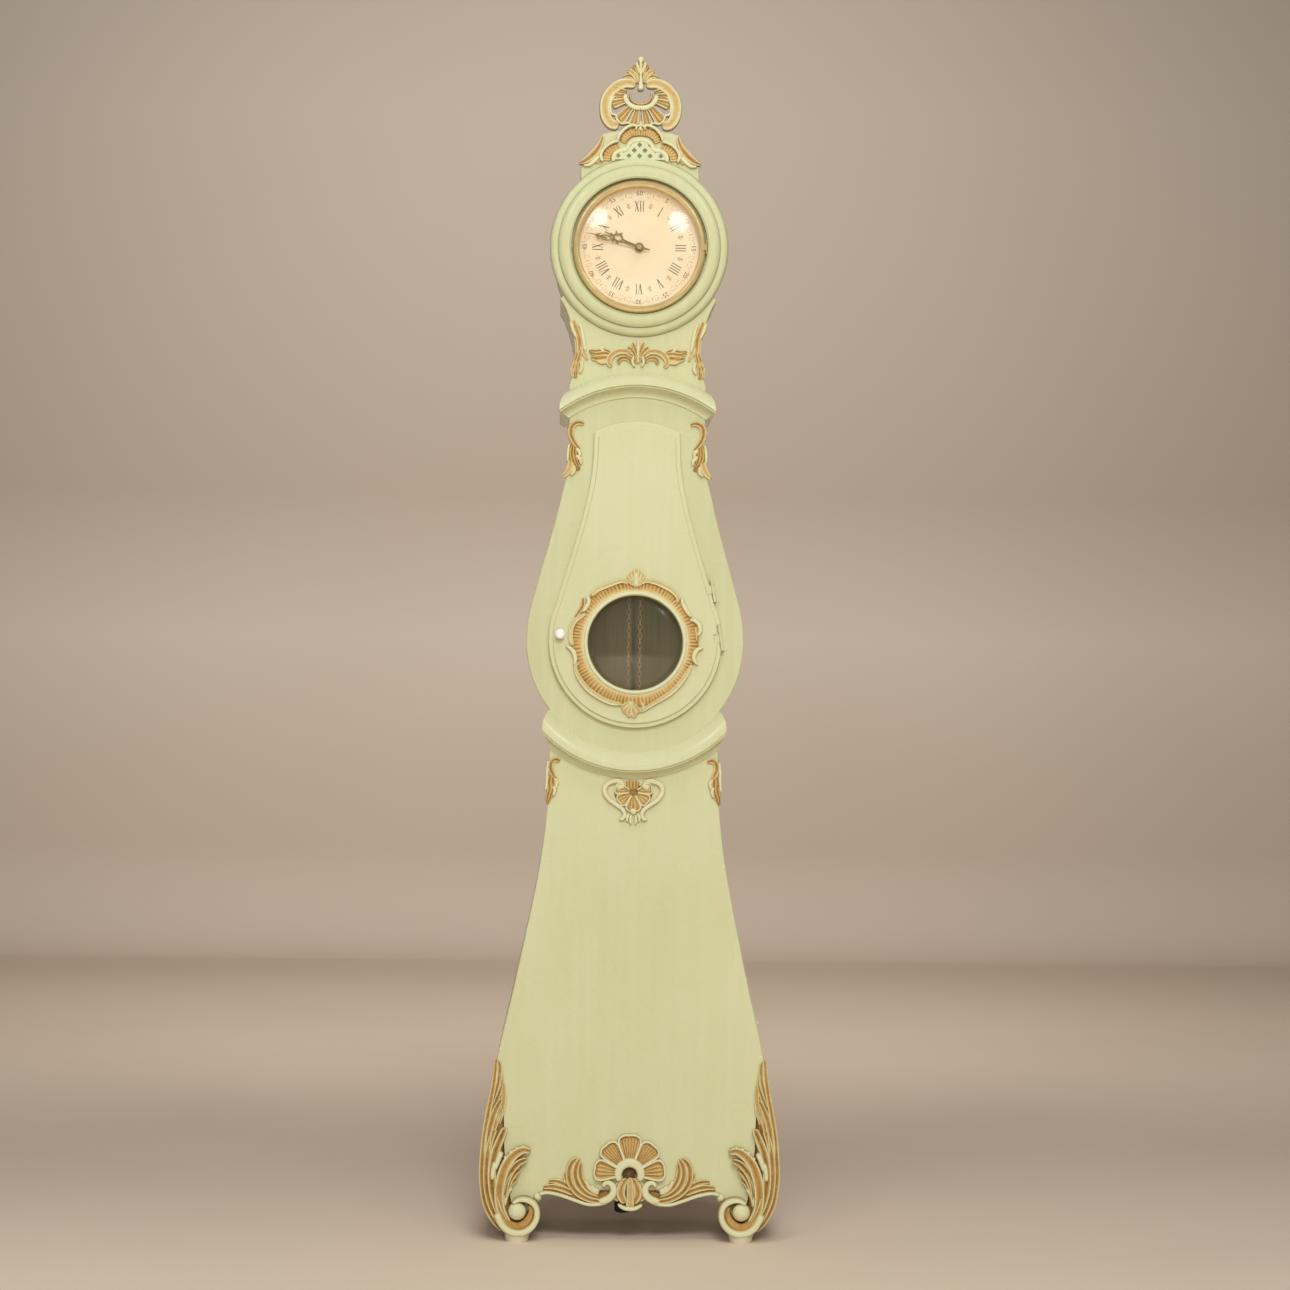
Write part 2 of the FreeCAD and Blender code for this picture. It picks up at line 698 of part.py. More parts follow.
def make_base():
    """Bell-shaped base: front, bent sides, the back of the whole case, glue blocks and feet."""
    front = prism(base_front_outline(), front_y, board_back_y)
    save("base_front_board", softened(front, edge_round, front_y))
    throat = base_top_half_width - side_board_thickness
    tall = base_top_z + cut_overrun
    outline = base_outline(side_board_thickness, base_side_bottom_z - cut_overrun)
    inner = prism(outline, board_back_y, inner_back_y)
    inner = inner.fuse(box(-throat, throat, board_back_y, inner_back_y, base_side_bottom_z, tall))
    walls = prism(base_outline(0, base_side_bottom_z), board_back_y, inner_back_y).cut(inner)
    right, left = halves(walls)
    save("base_side_right", right)
    save("base_side_left", left)
    low_back = prism(base_outline(0, base_side_bottom_z), inner_back_y, back_y)
    save("case_back_board", joined([low_back, prism(trunk_outline(0), inner_back_y, back_y)]))
    pad_y = board_back_y - foot_pad_radius
    pads = []
    blocks = []
    inner_x = base_flare_half_width - side_board_thickness
    block_top = base_side_bottom_z + corner_block_height
    for side in (-1, 1):
        place = at(side * foot_scroll_x, 0, pad_y)
        pads.append(Part.makeCone(foot_pad_radius * foot_pad_share, foot_pad_radius, foot_pad_height, place))
        near, far = sorted((side * (inner_x - rear_foot_width), side * inner_x))
        blocks.append(box(near, far, inner_back_y - rear_foot_depth, inner_back_y, 0, base_flare_z))
        near, far = sorted((side * (inner_x - corner_block_width), side * inner_x))
        block = box(
            near, far, board_back_y, board_back_y + corner_block_depth, base_side_bottom_z, block_top)
        blocks.append(block.common(inner))
    save("front_foot_pads", Part.makeCompound(pads))
    save("rear_feet_and_corner_blocks", Part.makeCompound(blocks))


def make_trunk():
    """Waisted trunk: front board with the door opening, bent sides and back."""
    front = prism(trunk_outline(0), front_y, board_back_y)
    front = softened(front, edge_round, front_y)
    opening = prism(door_outline(door_rebate), front_y - cut_overrun, board_back_y + cut_overrun)
    save("trunk_front_board", front.cut(opening))
    walls = prism(trunk_outline(0), board_back_y, inner_back_y)
    walls = walls.cut(
        prism(trunk_outline(side_board_thickness), board_back_y - cut_overrun, inner_back_y + cut_overrun))
    middle = base_top_half_width - side_board_thickness
    walls = walls.cut(
        box(-middle, middle, front_y, back_y, base_top_z - belly_radius, base_top_z + side_board_thickness))
    walls = walls.cut(box(
        side_board_thickness - trunk_top_half_width, trunk_top_half_width - side_board_thickness, front_y,
        back_y, trunk_straight_z, upper_cornice_z + upper_cornice_foot_radius))
    right, left = halves(walls)
    save("trunk_side_right", right)
    save("trunk_side_left", left)


def make_hood():
    """Hood: front board with the block, bent sides, top, back and the turned ring about the dial."""
    front = prism(hood_front_outline(), front_y, board_back_y)
    front = softened(front, edge_round, front_y)
    save("hood_front_board", front.cut(
        rod(hood_bore_radius, front_y - cut_overrun, board_back_y + cut_overrun, 0, dial_z)))
    inner_top = shoulder_z - hood_top_thickness
    walls = prism(hood_outline(0, inner_top), board_back_y, inner_back_y)
    walls = walls.cut(prism(
        hood_outline(hood_side_thickness, inner_top + cut_overrun), board_back_y - cut_overrun,
        inner_back_y + cut_overrun))
    low = hood_bottom_half_width - hood_side_thickness
    walls = walls.cut(box(-low, low, front_y, back_y, hood_joint_z - cut_overrun, neck_bottom_z + (
        upper_cornice_foot_radius - upper_cornice_joint_radius)))
    right, left = halves(walls)
    save("hood_side_right", right)
    save("hood_side_left", left)
    save("hood_top_board", box(
        -shoulder_half_width, shoulder_half_width, board_back_y, inner_back_y, inner_top, shoulder_z))
    save("hood_back_board", prism(hood_outline(0, shoulder_z), inner_back_y, back_y))
    rise = ring_height - ring_rim_height
    outer = at(ring_outer_radius, dial_z, front_y)
    rim = at(ring_step_radius, dial_z, front_y - ring_rim_height)
    rim_middle = at(ring_outer_radius - (
        ring_outer_radius - ring_step_radius) * 0.25, dial_z, front_y - ring_rim_height * 0.72)
    step = at(ring_fillet_radius, dial_z, front_y - ring_rim_height)
    step_up = at(ring_fillet_radius, dial_z, front_y - ring_rim_height - rise * 0.3)
    lip = at(ring_bore_radius + (ring_fillet_radius - ring_bore_radius) * 0.3, dial_z, front_y - ring_height)
    swell = at(ring_bore_radius + (
        ring_fillet_radius - ring_bore_radius) * 0.72, dial_z, front_y - ring_rim_height - rise * 0.88)
    bore_front = at(ring_bore_radius, dial_z, front_y - ring_height)
    bore_back = at(ring_bore_radius, dial_z, front_y)
    edges = [arc(outer, rim_middle, rim), line(rim, step), line(step, step_up), arc(step_up, swell, lip)]
    edges += [line(lip, bore_front), line(bore_front, bore_back), line(bore_back, outer)]
    save("hood_ring_moulding", turned_edges(edges, dial_z))


def cornice(centre_z, sign, foot, lip, end, reach, side_reach, foot_x, end_x):
    """A cornice turned about a level axis in front, with plain returns along both sides of the case.

    In front its face runs from the foot radius over a quarter-round to the lip, then a small fillet, then a
    hollow to the end radius. At the sides the same face runs where those radii meet the case.
    """
    fillet_y = front_y - reach + cornice_fillet
    step = lip - sign * cornice_fillet
    swell = foot + (lip - foot) * cornice_swell_share
    hollow = step + (end - step) * cornice_hollow_share
    hollow_y = front_y - (reach - cornice_fillet) * cornice_hollow_share
    places = [
        (foot, front_y), (
            swell, front_y - reach * cornice_bulge_share), (lip, front_y - reach), (lip, fillet_y),
        (step, fillet_y), (hollow, hollow_y), (end, front_y - cornice_toe), (end, back_y), (foot, back_y)]
    face = [at(radius, centre_z, y) for radius, y in places]
    edges = [arc(face[0], face[1], face[2]), line(face[2], face[3]), line(face[3], face[4])]
    edges += [
        arc(face[4], face[5], face[6]), line(face[6], face[7]), line(face[7], face[8]),
        line(face[8], face[0])]
    wide = foot_x + side_reach
    narrow = wide - cornice_fillet * side_reach / reach
    toe_x = end_x + cornice_toe / 2
    foot_z = on_circle(foot, foot_x, centre_z, sign)
    lip_z = on_circle(lip, wide, centre_z, sign)
    step_z = on_circle(step, wide, centre_z, sign)
    end_z = on_circle(end, end_x, centre_z, sign)
    high = max(foot_z, centre_z + sign * foot) + reach
    low = min(end_z, centre_z + sign * end) - reach
    bulge = at(foot_x + side_reach * cornice_bulge_share, foot_z + (lip_z - foot_z) * cornice_swell_share)
    bend = at(toe_x + (narrow - toe_x) * cornice_hollow_share, (step_z + end_z) / 2)
    side_edges = [
        line(at(0, high), at(foot_x, high)),
        line(at(foot_x, high), at(foot_x, foot_z)),
        arc(at(foot_x, foot_z), bulge, at(wide, lip_z)),
        line(at(wide, lip_z), at(narrow, step_z)),
        arc(at(narrow, step_z), bend, at(toe_x, end_z)),
        line(at(toe_x, end_z), at(end_x, end_z)),
        line(at(end_x, end_z), at(end_x, low)),
        line(at(end_x, low), at(0, low)),
    ]
    return turned_edges(edges, centre_z).common(prism(both_sides(side_edges), front_y - reach * 2, back_y))


def save_cornice(name, body, case_outline):
    """Cuts a cornice into its front length and its two side returns about the case."""
    limits = body.BoundBox
    front = box(limits.XMin, limits.XMax, limits.YMin, front_y, limits.ZMin, limits.ZMax)
    rear = box(limits.XMin, limits.XMax, front_y, back_y, limits.ZMin, limits.ZMax)
    save(name + "_front", body.common(front))
    save(name + "_returns", Part.makeCompound(halves(body.common(rear).cut(case_outline))))


def make_cornices():
    """The sagging lower cornice and the arched upper one."""
    y_from, y_to = front_y - cut_overrun, back_y + cut_overrun
    trunk = prism(trunk_outline(0), y_from, y_to)
    body = cornice(
        window_z, -1, lower_cornice_foot_radius, lower_cornice_lip_radius, lower_cornice_end_radius,
        lower_cornice_lip, lower_cornice_side_lip, belly_end_x, base_top_half_width)
    save_cornice("lower_cornice", body, trunk.fuse(prism(base_outline(0, base_side_bottom_z), y_from, y_to)))
    body = cornice(
        upper_cornice_z, 1, upper_cornice_foot_radius, upper_cornice_lip_radius, upper_cornice_end_radius,
        upper_cornice_lip, upper_cornice_side_lip, trunk_top_half_width,
        trunk_top_half_width)
    save_cornice("upper_cornice", body, trunk.fuse(prism(hood_outline(0, shoulder_z), y_from, y_to)))


def dome(flange_radius, flange_back, thickness, dome_radius, rise, z):
    """A clock glass: a flat flange with a spherical dome, worked out from the chord and the rise."""
    ball = (dome_radius ** 2 + rise ** 2) / (2 * rise)
    front = flange_back - thickness
    centre = front - rise + ball
    outside = Part.makeSphere(ball, at(0, z, centre))
    inside = Part.makeSphere(ball - thickness, at(0, z, centre))
    cap = rod(dome_radius, front - rise - cut_overrun, flange_back, 0, z)
    shell = outside.cut(inside).common(cap)
    inner_reach = math.sqrt((ball - thickness) ** 2 - (centre - flange_back) ** 2)
    flange = tube(flange_radius, inner_reach, front, flange_back, 0, z)
    return joined([shell, flange])


def tilted(shape, x, y, z, angle):
    """Turns a piece made about the vertical to the lean of the hinge line and moves it into place."""
    shape.rotate(origin, axis_y, angle)
    shape.translate(at(x, z, y))
    return shape


def make_door():
    """The door, its glass, its carved window frame, hinges, and the knob with its latch."""
    back = front_y - door_gap
    middle = back - door_thickness
    face = middle - door_field_rise
    board = prism(door_outline(0), middle, back)
    board = softened(board, edge_round, middle)
    field = prism(door_outline(door_border), face, middle)
    field = softened(field, edge_round, face)
    panel = board.fuse(field).cut(rod(door_hole_radius, face - cut_overrun, back + cut_overrun, 0, window_z))
    panel = panel.cut(
        rod(spindle_radius + running_gap, face - cut_overrun, back + cut_overrun, -knob_x, knob_z))
    save("door_glass", dome(
        door_glass_radius, back, door_glass_thickness, door_dome_radius, door_dome_rise, window_z))
    flange_front = back - door_glass_thickness
    collar = tube(door_hole_radius, window_ring_radius, face, flange_front, 0, window_z)
    ring = tube(window_ring_outer, window_ring_radius, face - window_ring_rise, face, 0, window_z)
    band = tube(window_band_outer, window_ring_outer, face - window_band_rise, face, 0, window_z)
    scrolls = carving(
        window_strokes_shares, window_carving_width, (0, window_z), face, window_carving_height, True)
    save("window_carving", joined([collar, ring, band, scrolls]))
    save("glass_retaining_ring", tube(
        retainer_outer, retainer_inner, back, back + retainer_thickness, 0, window_z))
    make_hinges(panel, middle)
    make_knob(face)


def make_knob(face):
    """Porcelain knob on a spindle that carries the latch cam behind the trunk front."""
    front = face - knob_reach
    profile = [
        (0, front), (
            knob_radius * 0.62, front + knob_reach * 0.05), (knob_radius, front + knob_reach * 0.38),
        (knob_radius * 0.82, front + knob_reach * 0.7), (knob_neck_radius, front + knob_reach * 0.82),
        (knob_neck_radius * 1.3, face - running_gap), (0, face - running_gap)]
    socket_y = front + knob_reach / 2
    save("door_knob", turned(profile, knob_z, -knob_x).cut(
        rod(spindle_radius, socket_y, face, -knob_x, knob_z)))
    cam_y = board_back_y + latch_gap
    half = latch_width / 2
    cam = box(
        -knob_x - half, -knob_x + half, cam_y, cam_y + latch_thickness, knob_z - latch_length, knob_z + half)
    save("knob_spindle", joined(
        [cam, rod(spindle_radius, socket_y, cam_y + latch_thickness, -knob_x, knob_z)]))


def make_hinges(panel, leaf_y):
    """Two butt hinges on one leaning line at the door's right edge, their pins fixed in the case leaves."""
    lean = -math.degrees(math.atan((hinge_bottom_x - hinge_top_x) / (hinge_top_z - hinge_bottom_z)))
    pin_y = leaf_y - knuckle_radius
    third = hinge_length / 3
    case_leaves, door_leaves, rebates = [], [], []
    bore = Part.makeCylinder(hinge_pin_radius + running_gap, hinge_length, at(0, -hinge_length / 2))
    for x, z in ((hinge_top_x, hinge_top_z), (hinge_bottom_x, hinge_bottom_z)):
        case = []
        for end in (-1, 1):
            low = -hinge_length / 2 if end < 0 else hinge_length / 2 - third
            case.append(Part.makeCylinder(knuckle_radius, third - running_gap, at(0, low)))
        drop = front_y - pin_y
        web_x = knuckle_radius - hinge_leaf_thickness
        case.append(box(web_x, knuckle_radius, 0, drop, -hinge_length / 2, hinge_length / 2))
        case.append(box(
            web_x, web_x + hinge_leaf_width, drop - hinge_leaf_thickness, drop, -hinge_length / 2,
            hinge_length / 2))
        gap = box(
            0, web_x + hinge_leaf_thickness * 2, -knuckle_radius * 2, knuckle_radius + hinge_leaf_thickness,
            -third / 2 - running_gap * 4, third / 2 + running_gap * 4)
        case = [joined(case).cut(gap), Part.makeCylinder(
            hinge_pin_radius, hinge_length, at(0, -hinge_length / 2))]
        case_leaves.append(tilted(joined(case), x, pin_y, z, lean))
        door = Part.makeCylinder(
            knuckle_radius, third - running_gap * 6, at(0, -third / 2 + running_gap * 3))
        leaf = box(
            -hinge_leaf_width * 1.3, 0, knuckle_radius - hinge_leaf_thickness, knuckle_radius,
            -third / 2 + running_gap * 3, third / 2 - running_gap * 3)
        door_leaves.append(tilted(joined([door, leaf]).cut(bore), x, pin_y, z, lean))
        clear = running_gap * 8
        rebate = box(
            -knuckle_radius - clear, knuckle_radius * 3, -knuckle_radius * 3, drop + cut_overrun,
            -hinge_length / 2 - clear, hinge_length / 2 + clear)
        rebates.append(tilted(rebate, x, pin_y, z, lean))
        pocket = box(
            -hinge_leaf_width * 1.3 - clear, 0, -knuckle_radius * 3, knuckle_radius, -third / 2, third / 2)
        rebates.append(tilted(pocket, x, pin_y, z, lean))
    for rebate in rebates:
        panel = panel.cut(rebate)
    save("door_panel", panel)
    save("door_hinge_case_leaves", Part.makeCompound(case_leaves))
    save("door_hinge_door_leaves", Part.makeCompound(door_leaves))


def make_bezel():
    """Brass bezel with its domed glass and hinge, closing on the hood front inside the turned ring."""
    outer_back = front_y - bezel_back
    front = front_y - bezel_front
    seat = front + (bezel_front - bezel_back) * 0.35
    glass_r = bezel_inner_radius + bezel_rebate
    edges = [
        line(at(bezel_inner_radius, dial_z, front + bezel_rebate), at(bezel_inner_radius, dial_z, seat)),
        line(at(bezel_inner_radius, dial_z, seat), at(glass_r, dial_z, seat)),
        line(at(glass_r, dial_z, seat), at(glass_r, dial_z, outer_back)),
        line(at(glass_r, dial_z, outer_back), at(bezel_outer_radius, dial_z, outer_back)),
        line(at(bezel_outer_radius, dial_z, outer_back), at(bezel_outer_radius, dial_z, seat)),
        arc(at(bezel_outer_radius, dial_z, seat), at(
            (bezel_outer_radius + bezel_inner_radius) / 2 + bezel_rebate, dial_z,
            front), at(bezel_inner_radius, dial_z, front + bezel_rebate)),
    ]
    ring = turned_edges(edges, dial_z)
    hinge_x = bezel_outer_radius + bezel_hinge_gap
    pin_y = front - bezel_knuckle_radius / 2
    low = dial_z - bezel_knuckle_length / 2
    knuckle = Part.makeCylinder(bezel_knuckle_radius, bezel_knuckle_length, at(hinge_x, low, pin_y))
    strap = box(
        bezel_outer_radius - bezel_rebate * 2, hinge_x, pin_y, pin_y + bezel_knuckle_radius, low,
        low + bezel_knuckle_length)
    clear = Part.makeCylinder(bezel_pin_radius + running_gap, bezel_knuckle_length * 3, at(
        hinge_x, low - bezel_knuckle_length, pin_y))
    tab = box(
        -bezel_outer_radius - bezel_rebate, -bezel_outer_radius + bezel_rebate * 2, seat,
        seat + bezel_rebate, dial_z - bezel_rebate, dial_z + bezel_rebate)
    save("bezel_ring", joined([ring, knuckle, strap, tab]).cut(clear))
    save("bezel_glass", dome(
        glass_r - running_gap * 4, seat + glass_thickness, glass_thickness,
        bezel_inner_radius - bezel_rebate / 4, bezel_dome_rise, dial_z))
    ears = []
    for end in (-1, 1):
        start = dial_z + end * (bezel_knuckle_length / 2 + running_gap * 4)
        bottom = start if end > 0 else start - bezel_knuckle_length * 0.6
        ear = Part.makeCylinder(bezel_knuckle_radius, bezel_knuckle_length * 0.6, at(hinge_x, bottom, pin_y))
        leg = box(
            hinge_x, hinge_x + bezel_knuckle_radius, pin_y, front_y, bottom,
            bottom + bezel_knuckle_length * 0.6)
        ears += [ear, leg]
    pin_span = bezel_knuckle_length * 2.2
    pin = Part.makeCylinder(bezel_pin_radius, pin_span, at(hinge_x, dial_z - pin_span / 2, pin_y))
    base = box(
        hinge_x, hinge_x + bezel_knuckle_radius, front_y - bezel_rebate, front_y, dial_z - pin_span / 2,
        dial_z + pin_span / 2)
    save("bezel_hinge", joined(ears + [pin, base]))


def gear(teeth, module, shares, thickness, y, x, z, facing, gap_first=False):
    """A toothed wheel whose first tooth, or gap if asked, faces that many degrees from straight up.

    The shares are the height of a tooth over and under the pitch circle, in modules, and its half width
    at the root and at the tip, in pitches.
    """
    over, under, root_share, tip_share = shares
    pitch_radius = teeth * module / 2
    step = 2 * math.pi / teeth
    tip, root = pitch_radius + over * module, pitch_radius - under * module
    first = math.radians(facing) + (step / 2 if gap_first else 0)
    points = []
    for number in range(teeth):
        for radius, share in ((root, -root_share), (tip, -tip_share), (tip, tip_share), (root, root_share)):
            angle = first + (number + share) * step
            points.append(at(x + radius * math.sin(angle), z + radius * math.cos(angle)))
    face = Part.Face(Part.makePolygon(points + points[:1]))
    face.translate(at(0, 0, y))
    return face.extrude(at(0, 0, thickness))


def crossed_out(disc, rim, y, x, z):
    """A wheel with four spokes left between its hub and the inside of its rim."""
    y_from, y_to = y - cut_overrun, y + cut_overrun
    window = tube(rim, arbor_radius * 2.4, y_from, y_to, x, z)
    upright = box(x - arbor_radius, x + arbor_radius, y_from, y_to, z - rim, z + rim)
    level = box(x - rim, x + rim, y_from, y_to, z - arbor_radius, z + arbor_radius)
    return disc.cut(window.cut(upright.fuse(level)))


def wheel(teeth, module, y, x, z):
    """A brass wheel with a tooth straight up and four spokes."""
    disc = gear(teeth, module, wheel_shares, wheel_thickness, y, x, z, 0)
    return crossed_out(disc, teeth * module / 2 - module * 3, y, x, z)


def arbor(z):
    """An arbor between the plates with a thin pivot in each."""
    body = rod(arbor_radius, front_plate_back + end_shake, back_plate_front - end_shake, 0, z)
    return joined([body, rod(pivot_radius, front_plate_front, back_plate_back, 0, z)])


front_plate_front = front_y + front_plate_setback
front_plate_back = front_plate_front + plate_thickness
back_plate_front = front_plate_back + plate_gap
back_plate_back = back_plate_front + plate_thickness
pendulum_y = back_plate_back + pendulum_setback
chain_y = front_plate_back + sprocket_setback + sprocket_flange + sprocket_width / 2
nut_back_y = front_y - minute_hand_front
great_z = dial_z - (great_teeth + pinion_leaves) * great_module / 2
third_z = dial_z + (centre_teeth + pinion_leaves) * centre_module / 2
escape_z = third_z + (third_teeth + pinion_leaves) * third_module / 2
anchor_z = escape_z + pallet_height
crutch_y = back_plate_back + plate_thickness
cock_pin_z = anchor_z + cock_height * 0.7
minute_x = (cannon_leaves + minute_wheel_teeth) * motion_module / 2


def make_movement():
    """Weight-driven movement between two plates: pillars, going train, motion work, anchor."""
    make_plates()
    y = front_plate_back
    great = wheel(great_teeth, great_module, y + great_setback, 0, great_z)
    hub = rod(arbor_radius * 2.4, y + great_setback, y + great_setback + pinion_length * 1.5, 0, great_z)
    bore = rod(arbor_radius + running_gap, y, back_plate_front, 0, great_z)
    save("great_wheel", joined([great, hub]).cut(bore))
    groove = sprocket_radius - chain_radius - running_gap * 4
    flange = sprocket_radius + chain_radius
    left = y + sprocket_setback
    right = left + sprocket_width + sprocket_flange * 2
    solids = [rod(groove, left, right, 0, great_z), arbor(great_z)]
    solids.append(rod(flange, left, left + sprocket_flange, 0, great_z))
    solids.append(rod(flange, right - sprocket_flange, right, 0, great_z))
    save("chain_sprocket", joined(solids))
    centre = wheel(centre_teeth, centre_module, y + centre_setback, 0, dial_z)
    leaves = pinion(great_module, y + great_setback, dial_z)
    staff = rod(arbor_radius, nut_back_y - hand_nut_height / 2, back_plate_back, 0, dial_z)
    save("centre_wheel", joined([centre, leaves, staff]))
    third = wheel(third_teeth, third_module, y + third_setback, 0, third_z)
    save("third_wheel", joined([third, pinion(centre_module, y + centre_setback, third_z), arbor(third_z)]))
    leaves = pinion(third_module, y + third_setback, escape_z)
    save("escape_wheel", joined([escape_disc(y + escape_setback), leaves, arbor(escape_z)]))
    make_anchor(y + escape_setback)
    make_motion_work()


def make_plates():
    """Front plate with the minute wheel's post, back plate with the suspension cock, and the pillars."""
    plates = []
    bottom, top = dial_z - plate_below, dial_z + plate_above
    for y in (front_plate_front, back_plate_front):
        plate = box(-plate_half_width, plate_half_width, y, y + plate_thickness, bottom, top)
        for z in (great_z, third_z, escape_z, anchor_z):
            plate = plate.cut(rod(pivot_radius + running_gap, y - cut_overrun, y + cut_overrun, 0, z))
        plates.append(
            plate.cut(rod(arbor_radius + running_gap, y - cut_overrun, y + cut_overrun, 0, dial_z)))
    post_front = front_plate_front - motion_depth
    post = rod(pivot_radius, post_front, front_plate_front, minute_x, dial_z)
    boss = rod(
        arbor_radius * 1.5, front_plate_front - motion_setback + running_gap * 2, front_plate_front,
        minute_x, dial_z)
    save("movement_plates", Part.makeCompound(
        [joined([plates[0], post, boss]), joined([plates[1], suspension_cock()])]))
    pillars = []
    for x in (-plate_half_width + pillar_inset, plate_half_width - pillar_inset):
        for z in (bottom + pillar_inset, top - pillar_inset):
            pillars.append(rod(pillar_radius, front_plate_back, back_plate_front, x, z))
    save("movement_pillars", Part.makeCompound(pillars))


def suspension_cock():
    """Slotted bracket behind the back plate whose pin carries the pendulum spring."""
    bottom = anchor_z + running_gap * 10
    top = bottom + cock_height
    body = box(
        -cock_half_width, cock_half_width, back_plate_back, pendulum_y + suspension_width, bottom, top)
    slot_y = pendulum_y - suspension_width / 2 - running_gap * 6
    slot_end = pendulum_y + suspension_width * 2
    slot = box(-cock_slot / 2, cock_slot / 2, slot_y, slot_end, bottom - cut_overrun, top + cut_overrun)
    pivot_space = rod(
        crutch_width, back_plate_back - cut_overrun, crutch_y + plate_thickness * 2, 0, anchor_z)
    pin = Part.makeCylinder(
        pivot_radius, cock_half_width * 2, at(-cock_half_width, cock_pin_z, pendulum_y), at(1, 0))
    return joined([body.cut(slot).cut(pivot_space), pin])


def pinion(module, wheel_y, z):
    """A pinion of eight leaves that straddles the wheel below it."""
    y = wheel_y - (pinion_length - wheel_thickness) / 2
    return gear(pinion_leaves, module, pinion_shares, pinion_length, y, 0, z, 180, True)


def escape_disc(y):
    """The escape wheel: leaning pointed teeth on a crossed-out rim."""
    points = []
    step = 2 * math.pi / escape_teeth
    root = escape_radius * escape_root_share
    for number in range(escape_teeth):
        for radius, share in ((root, 0.0), (escape_radius, 0.36), (escape_radius, 0.42), (root, 0.5)):
            angle = (number + share) * step
            points.append(at(radius * math.sin(angle), escape_z + radius * math.cos(angle)))
    face = Part.Face(Part.makePolygon(points + points[:1]))
    face.translate(at(0, 0, y))
    return crossed_out(face.extrude(at(0, 0, wheel_thickness)), root * 0.8, y, 0, escape_z)


def make_anchor(y):
    """Anchor over the escape wheel, with its crutch and fork behind the back plate."""
    reach = escape_radius + pallet_gap
    pallet_share = math.sqrt(0.5)
    solids = []
    for side in (-1, 1):
        tip = (side * reach * pallet_share * 1.06, escape_z + reach * pallet_share * 1.06)
        knee = (side * reach * 0.86, anchor_z - pallet_height * 0.24)
        solids.append(ribbon((0, anchor_z), knee, tip, arbor_radius, y, y + wheel_thickness))
    solids.append(rod(arbor_radius * 1.8, y, y + wheel_thickness, 0, anchor_z))
    wheel_space = rod(reach, y - cut_overrun, y + cut_overrun, 0, escape_z)
    anchor = joined(solids).cut(wheel_space)
    crutch_back = crutch_y + plate_thickness
    staff = [arbor(anchor_z), rod(pivot_radius, back_plate_front, crutch_back, 0, anchor_z)]
    bottom = anchor_z - crutch_length
    half = crutch_width / 2
    arm = box(-half, half, crutch_y, crutch_back, bottom, anchor_z + half)
    near = pendulum_rod_radius + fork_gap
    fork = [box(-near - half, near + half, crutch_y, crutch_back, bottom - crutch_width, bottom)]
    for side in (-1, 1):
        low, high = sorted((side * near, side * (near + half)))
        fork.append(
            box(low, high, crutch_y, pendulum_y + pendulum_rod_radius * 2, bottom - crutch_width, bottom))
    save("pallet_anchor", joined([anchor, arm] + staff + fork))


def make_motion_work():
    """Cannon pinion, minute wheel and hour wheel between the front plate and the dial."""
    first_y = front_plate_front - motion_setback - motion_leaf_length
    second_y = first_y - motion_leaf_length - motion_wheel_thickness
    leaves = gear(
        cannon_leaves, motion_module, motion_shares, motion_leaf_length, first_y, 0, dial_z, 90, True)
    pipe = rod(cannon_pipe_radius, nut_back_y, first_y + motion_leaf_length, 0, dial_z)
    bore = rod(arbor_radius + running_gap, nut_back_y - cut_overrun, front_plate_front, 0, dial_z)
    save("cannon_pinion", joined([leaves, pipe]).cut(bore))
    flat_y = first_y + (motion_leaf_length - motion_wheel_thickness) / 2
    flat = gear(
        minute_wheel_teeth, motion_module, motion_shares, motion_wheel_thickness, flat_y, minute_x, dial_z,
        -90)
    small_y = second_y - (motion_leaf_length - motion_wheel_thickness) / 2
    small = gear(
        minute_pinion_leaves, motion_module, motion_shares, motion_leaf_length, small_y, minute_x, dial_z,
        -90, True)
    neck = rod(arbor_radius * 1.2, second_y, first_y + motion_leaf_length, minute_x, dial_z)
    bore = rod(pivot_radius + running_gap, small_y - cut_overrun, front_plate_front, minute_x, dial_z)
    save("minute_wheel", joined([flat, small, neck]).cut(bore))
    disc = gear(
        hour_wheel_teeth, motion_module, motion_shares, motion_wheel_thickness, second_y, 0, dial_z, 90)
    pipe = rod(hour_pipe_radius, front_y - hour_hand_front, second_y + motion_wheel_thickness, 0, dial_z)
    bore = rod(cannon_pipe_radius + running_gap, nut_back_y, first_y, 0, dial_z)
    save("hour_wheel", joined([disc, pipe]).cut(bore))


def hand_blank(length, lobes, y, bore, angle):
    """A pierced hand: a slim tapering blade with open leaf lobes, turned to its place on the dial."""
    front = y - hand_thickness
    root, tip = length * hand_root_share, length * hand_tip_share
    blade = [at(-root, 0), at(root, 0), at(tip, length), at(-tip, length)]
    face = Part.Face(Part.makePolygon(blade + blade[:1]))
    face.translate(at(0, 0, front))
    solids = [tube(bore * 2.1, bore, front, y), face.extrude(at(0, 0, hand_thickness))]
    for place, width in lobes:
        low, high = length * (place - hand_lobe_share), length * (place + hand_lobe_share)
        for side in (-1, 1):
            middle = (side * width * length, length * place)
            solids.append(ribbon((0, low), middle, (0, high), length * hand_wire_share, front, y))
    hand = joined(solids).cut(rod(bore, y - cut_overrun, y + cut_overrun))
    hand.rotate(origin, axis_y, angle)
    hand.translate(at(0, dial_z))
    return hand


